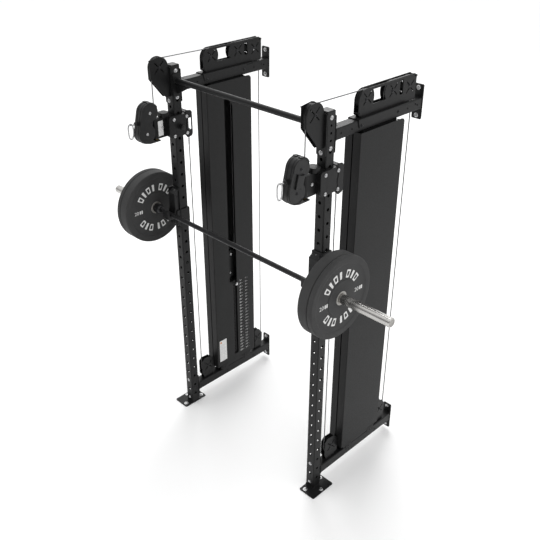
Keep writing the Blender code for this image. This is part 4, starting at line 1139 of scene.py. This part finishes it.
def make_carabiner(end, x):
    """The ball stop on the cable's end and the snap link that hangs from it."""
    body = "carabiner" + end
    y, z = BALL
    half_ring = [(0.013 * cos(radians(t)), 0.013 * sin(radians(t))) for t in range(75, -76, -15)]
    ball = lathe([(0.0, 0.013), *half_ring, (0.0, -0.013)], (x, y, z), "y", 32)
    groove = tube_piece((x, y, z), "y", 0.0134, 0.012, 0.0016, 32, 0.0003)
    piece("ball_stop" + end, body, *MOULDED, ball, groove)
    half_high, points = 0.042, 56
    link_mid = z + 0.006 - half_high
    loop = []
    for i in range(points):
        across, up = cos(2 * pi * i / points), sin(2 * pi * i / points)
        half_wide = 0.0165 - 0.0022 * max(0.0, -up)
        loop.append((x, LINK_Y + half_wide * copysign(abs(across) ** 0.7, across),
                     link_mid + half_high * copysign(abs(up) ** 0.7, up)))
    link = wire(loop, 0.0042, cyclic=True, smoothness=4)
    near, far = y - 0.0065, LINK_Y + 0.008
    tang = rod((x, (near + far) / 2, z), "y", 0.0045, near - far + 0.006, 24)
    eye = tube_piece((x, LINK_Y + 0.0005, z + 0.0045), "x", 0.0072, 0.0037, 0.008, 28, 0.001)
    front = LINK_Y - 0.0158
    gate = [rod((x, front, link_mid + 0.002), "z", 0.0043, 0.03, 24, 0.001),
            rod((x, front + 0.0004, link_mid - 0.016), "x", 0.0022, 0.0092, 16)]
    piece("snap_link" + end, body, *BRIGHT, link, tang, eye, *gate, replaces=[body])


# ---------------------------------------------------------------- rack pieces
def make_j_cup(end, x, side):
    face, inner = -HALF - GAP, HALF + GAP
    outer = inner + 0.006
    bottom = 1.405
    back = rounded((x - outer, bottom), (x + outer, 1.65), 0.01)
    parts = [outline(back, (face - 0.006, face), "y", edge=0.0008)]
    for s, top in ((side, 1.648), (-side, 1.511)):
        reach = rounded((-0.06, bottom + 0.003), (outer, top), 0.008)
        parts.append(outline(reach, (x + s * inner, x + s * outer), "x", edge=0.0008))
    for reach, span in (((x - 0.033, x + 0.033), (1.446, 1.51)), ((x, x + side * 0.034), (1.58, 1.642))):
        parts.append(block(reach, (inner, outer), span, 0.001))
    piece("j_cup_steel" + end, "frame", *PAINTED, *parts, replaces=["j_cup" + end])
    root = face - 0.004
    pad = fillet([
        (root, 1.425), (-0.066, 1.425), (-0.066, BAR_Z - 0.03), (-0.118, BAR_Z - 0.03),
        (-0.122, BAR_Z - 0.024), (-0.122, BAR_Z + 0.03), (-0.1085, BAR_Z + 0.03), (-0.1085, BAR_Z - 0.004),
        *arc((BAR_Y, BAR_Z), 0.0149, 197, 343, 14), (-0.0775, BAR_Z - 0.004), (-0.066, BAR_Z + 0.03),
        (-0.066, 1.618), (root, 1.64),
    ], 0.003, 3)
    piece("j_cup_core" + end, "frame", *PAINTED, outline(pad, (x - 0.02, x + 0.02), "x", edge=0.001))
    liners = pair(x, pad, 0.0202, 0.029, edge=0.0016)
    piece("j_cup_liners" + end, "frame", "powder_coat", LINER, *liners)
    bolts("frame", x, 0.0288, ((-0.049, 1.445), (-0.049, 1.6)), 0.0048, 0.003, "oxide")
    bolt("frame", (x, face - 0.01, 1.63), "z", 1, 0.0052, 0.004)


def make_pull_up_bar():
    z = 2.292
    inside = TOWER_X - HALF - GAP
    parts = [rod((0.0, 0.0, z), "x", 0.016, 2 * inside - 0.004, 48)]
    for side in (-1, 1):
        edge = side * inside
        gusset = [(0.003, 2.222), (0.012, 2.22), (0.112, 2.272), (0.112, 2.29), (0.003, 2.29)]
        gusset = fillet([(edge - side * a, b) for a, b in gusset], 0.003, 3)
        parts.append(outline(gusset, (-0.003, 0.003), "y", edge=0.0005))
        flange = rounded((-0.029, 2.205), (0.029, 2.335), 0.01)
        parts.append(outline(flange, (edge - side * 0.006, edge), "x", edge=0.0008))
        ring = [(edge - side * 0.0072, a, b) for a, b in circle((0.0, z), 0.0165, 36)]
        parts.append(wire(ring, 0.0024, cyclic=True, smoothness=2))
    piece("pull_up_rail", "frame", *PAINTED, *parts, replaces=["pull_up_bar"])


def on_bar(side, profile, steps, closed=False):
    """A profile of (radius, distance from the middle) turned about the bar."""
    return lathe([(r, side * a) for r, a in profile], (0.0, BAR_Y, BAR_Z), "x", steps, closed)


def make_barbell():
    collar, stop, tip = 0.655, THICK_DISC[0] - 0.004, BAR_END - 0.0025
    shaft = rod((0.0, BAR_Y, BAR_Z), "x", 0.014, 2 * collar, 48)
    piece("knurled_shaft", "barbell", "black_oxide", KNURL, shaft, replaces=["barbell"])
    ring = [
        (0.0, collar - 0.006), (0.0165, collar - 0.006), (0.0215, collar - 0.001), (0.024, collar + 0.003),
        (0.0282, collar + 0.004), (0.029, collar + 0.006), (0.029, stop - 0.002), (0.028, stop), (0.0, stop),
    ]
    tube = [
        (0.0, stop - 0.002), (SLEEVE_R, stop - 0.002), (SLEEVE_R, BAR_END - 0.024),
        (SLEEVE_R - 0.0008, BAR_END - 0.0235), (SLEEVE_R - 0.0008, BAR_END - 0.0215),
        (SLEEVE_R, BAR_END - 0.021), (SLEEVE_R, BAR_END - 0.004), (SLEEVE_R - 0.003, BAR_END - 0.0005),
        (0.0195, BAR_END - 0.0005), (0.019, tip), (0.0, tip),
    ]
    cap = [
        (0.0, tip + 0.001), (0.015, tip + 0.001), (0.0165, tip + 0.0022), (0.0182, tip + 0.0022),
        (0.0186, tip + 0.001), (0.0186, tip - 0.001), (0, tip - 0.001),
    ]
    for suffix, side in ENDS:
        piece("collar" + suffix, "barbell", *DARK, on_bar(side, ring, 72))
        piece("sleeve" + suffix, "barbell", "bright_steel", CHROME, on_bar(side, tube, 72))
        piece("sleeve_cap" + suffix, "barbell", "bright_steel", HUB, on_bar(side, cap, 56))


def make_disc(name, side, span, dish):
    near, far = span
    bore = SLEEVE_R + 0.0008
    soft, lip = 0.007, DISC_R - 0.0005
    face = [
        (0.038, far - 0.0004), (0.094, far - 0.0004), (0.097, far - 0.0014), (0.0985, far - dish),
        (0.18, far - dish), (0.186, far - dish * 0.55), (0.19, far - 0.0006), (0.194, far), (lip - soft, far),
    ]
    for t in range(15, 91, 15):
        face.append((lip - soft + soft * sin(radians(t)), far - soft + soft * cos(radians(t))))
    whole = [(r, near + far - a) for r, a in face] + list(reversed(face))
    piece(name + "_rubber", name, *RUBBERY, on_bar(side, whole, 128, True), replaces=[name])
    hub = [(bore, 0.0015), (0.0285, 0.0015), (0.03, 0.0001), (0.0372, 0.0001), (0.0378, 0.0008)]
    hub = [(r, near + a) for r, a in hub] + [(r, far - a) for r, a in reversed(hub)]
    piece(name + "_hub", name, "bright_steel", HUB, on_bar(side, hub, 72, True))
    marks = face_marks(side, far - dish) + face_marks(-side, -(near + dish))
    piece(name + "_marks", name, "rubber", WHITE, *marks)


def face_marks(facing, at):
    """White marks in a dished face: plain frames and bars above and below, a number left and right."""
    raised = (facing * (at - 0.0003), facing * (at + 0.0008))
    half, near, far = radians(5.8), 0.109, 0.152
    made = []
    for level in (90, 270):
        for i in range(7):
            turn = radians(level + (i - 3 + (-0.25, 0.25)[i > 2]) * 16.4)
            frame = [(BAR_Y + r * cos(turn + a), BAR_Z + r * sin(turn + a)) for r, a in (
                (far, -half), (far, 0), (far, half), (near, half), (near, 0), (near, -half))]
            ring = [Vector(p) for p in fillet(frame, 0.004, 3)]
            centre = Vector((BAR_Y + 0.1305 * cos(turn), BAR_Z + 0.1305 * sin(turn)))
            holes = []
            if i % 2:
                across = Vector((-sin(turn), cos(turn)))
                ring = [p - across * (p - centre).dot(across) * 0.45 for p in ring]
            else:
                holes.append([tuple(centre + (p - centre) * 0.56) for p in ring])
            made.append(outline([tuple(p) for p in ring], raised, "x", holes, 0.0002))
    for y in (BAR_Y + 0.132, BAR_Y - 0.132):
        made.append(lettering("20", 0.032, (facing * (at + 0.0006), y - facing * 0.012, BAR_Z), facing))
        for start in (0.01, 0.023):
            reach = sorted((y + facing * start, y + facing * (start + 0.009)))
            bar = rounded((reach[0], BAR_Z - 0.0105), (reach[1], BAR_Z + 0.0105), 0.002, 2)
            made.append(outline(bar, raised, "x", [], 0.0002))
    return made


# ---------------------------------------------------------------- the machine
for end, side in ENDS:
    x = side * TOWER_X
    make_upright(end, x)
    make_foot_plate(end, x, side)
    make_upper_beam(end, x)
    make_lower_beam(end, x)
    make_top_bracket(end, x)
    make_front_housing(end, x, side)
    for name, place in PULLEYS.items():
        make_pulley(name, end, x, place)
    make_pulley("stack", end, x, STACK_PULLEY, STACK_PULLEY_R)
    make_cable(end, x)
    make_shroud(end, x, "inner", -side)
    make_shroud(end, x, "outer", side)
    make_markings(end, x, side)
    make_guides(end, x)
    make_stack(end, x, side)
    make_selector(end, x, side)
    make_trolley(end, x, side)
    make_head(end, x, side)
    make_carabiner(end, x)
    make_j_cup(end, x, side)
    make_disc("thick_plate" + end, side, THICK_DISC, 0.0045)
    make_disc("thin_plate" + end, side, THIN_DISC, 0.004)
make_pull_up_bar()
make_barbell()
for (body, kind), meshes in BOLTS.items():
    piece(f"{kind}_bolts_{body}", body, *(BRIGHT if kind == "zinc" else DARK), *meshes)


# ---------------------------------------------------------------- floor, light and camera
SKY = 1.22  # strength of the world overhead
BEHIND = 0.95  # and low down behind the machine
AHEAD = 0.22  # and low down on the side that the machine faces
LAMPS = {  # place, target, width, height, power
    "backdrop": ((-5.0, 6.2, 5.6), (0.0, 0.2, 1.6), 5.0, 3.0, 120.0),
    "overhead": ((-2.0, 2.6, 7.0), (0.1, 0.0, 0.4), 2.6, 2.6, 120.0),
}
CAMERA_PLACE = (2.7619, -2.5611 + SHIFT, 3.4598)
CAMERA_DOWN, CAMERA_TURN = 29.91, 45.03


def make_lamp(name, place, target, width, height, power):
    data = bpy.data.lights.new(name, "AREA")
    data.shape = "RECTANGLE"
    data.size, data.size_y = width, height
    data.energy = power
    lamp = bpy.data.objects.new(name, data)
    bpy.context.scene.collection.objects.link(lamp)
    lamp.location = place
    lamp.rotation_euler = (Vector(target) - Vector(place)).to_track_quat("-Z", "Y").to_euler()


def make_world():
    """A bright sky overhead that is dimmer low down on the side the machine faces."""
    world = bpy.data.worlds.new("studio")
    bpy.context.scene.world = world
    world.use_nodes = True
    nodes = Nodes(world.node_tree)
    parts = nodes.add("SeparateXYZ", {0: nodes.add("TexCoord")["Generated"]})
    ahead = nodes.math("SUBTRACT", nodes.math("MULTIPLY", parts["X"], 0.25), parts["Y"])
    low = nodes.ranged(ahead, BEHIND, AHEAD, 0.0, 0.8)
    lift = nodes.ranged(parts["Z"], 0.0, 1.0, 0.3, 0.8)
    rise = nodes.math("MULTIPLY", nodes.math("SUBTRACT", SKY, low), lift)
    background = world.node_tree.nodes["Background"]
    background.inputs["Color"].default_value = (1.0, 1.0, 1.0, 1.0)
    nodes.feed(background.inputs["Strength"], nodes.math("ADD", low, rise))


def make_floor():
    bpy.ops.mesh.primitive_plane_add(size=80.0)
    floor = bpy.context.object
    floor.name = "studio_floor"
    floor.data.materials.append(Graph("pale_floor", specular=0.2).done((0.97, 0.97, 0.97, 1), 0.7))


def make_camera():
    data = bpy.data.cameras.new("camera")
    data.lens = 50.0
    data.sensor_width = 36.0
    data.clip_start, data.clip_end = 0.05, 200.0
    camera = bpy.data.objects.new("camera", data)
    bpy.context.scene.collection.objects.link(camera)
    camera.location = CAMERA_PLACE
    camera.rotation_euler = (radians(90.0 - CAMERA_DOWN), 0.0, radians(CAMERA_TURN))
    bpy.context.scene.camera = camera


make_floor()
make_world()
for name, settings in LAMPS.items():
    make_lamp(name, *settings)
make_camera()
bpy.context.scene.view_settings.view_transform = "Standard"
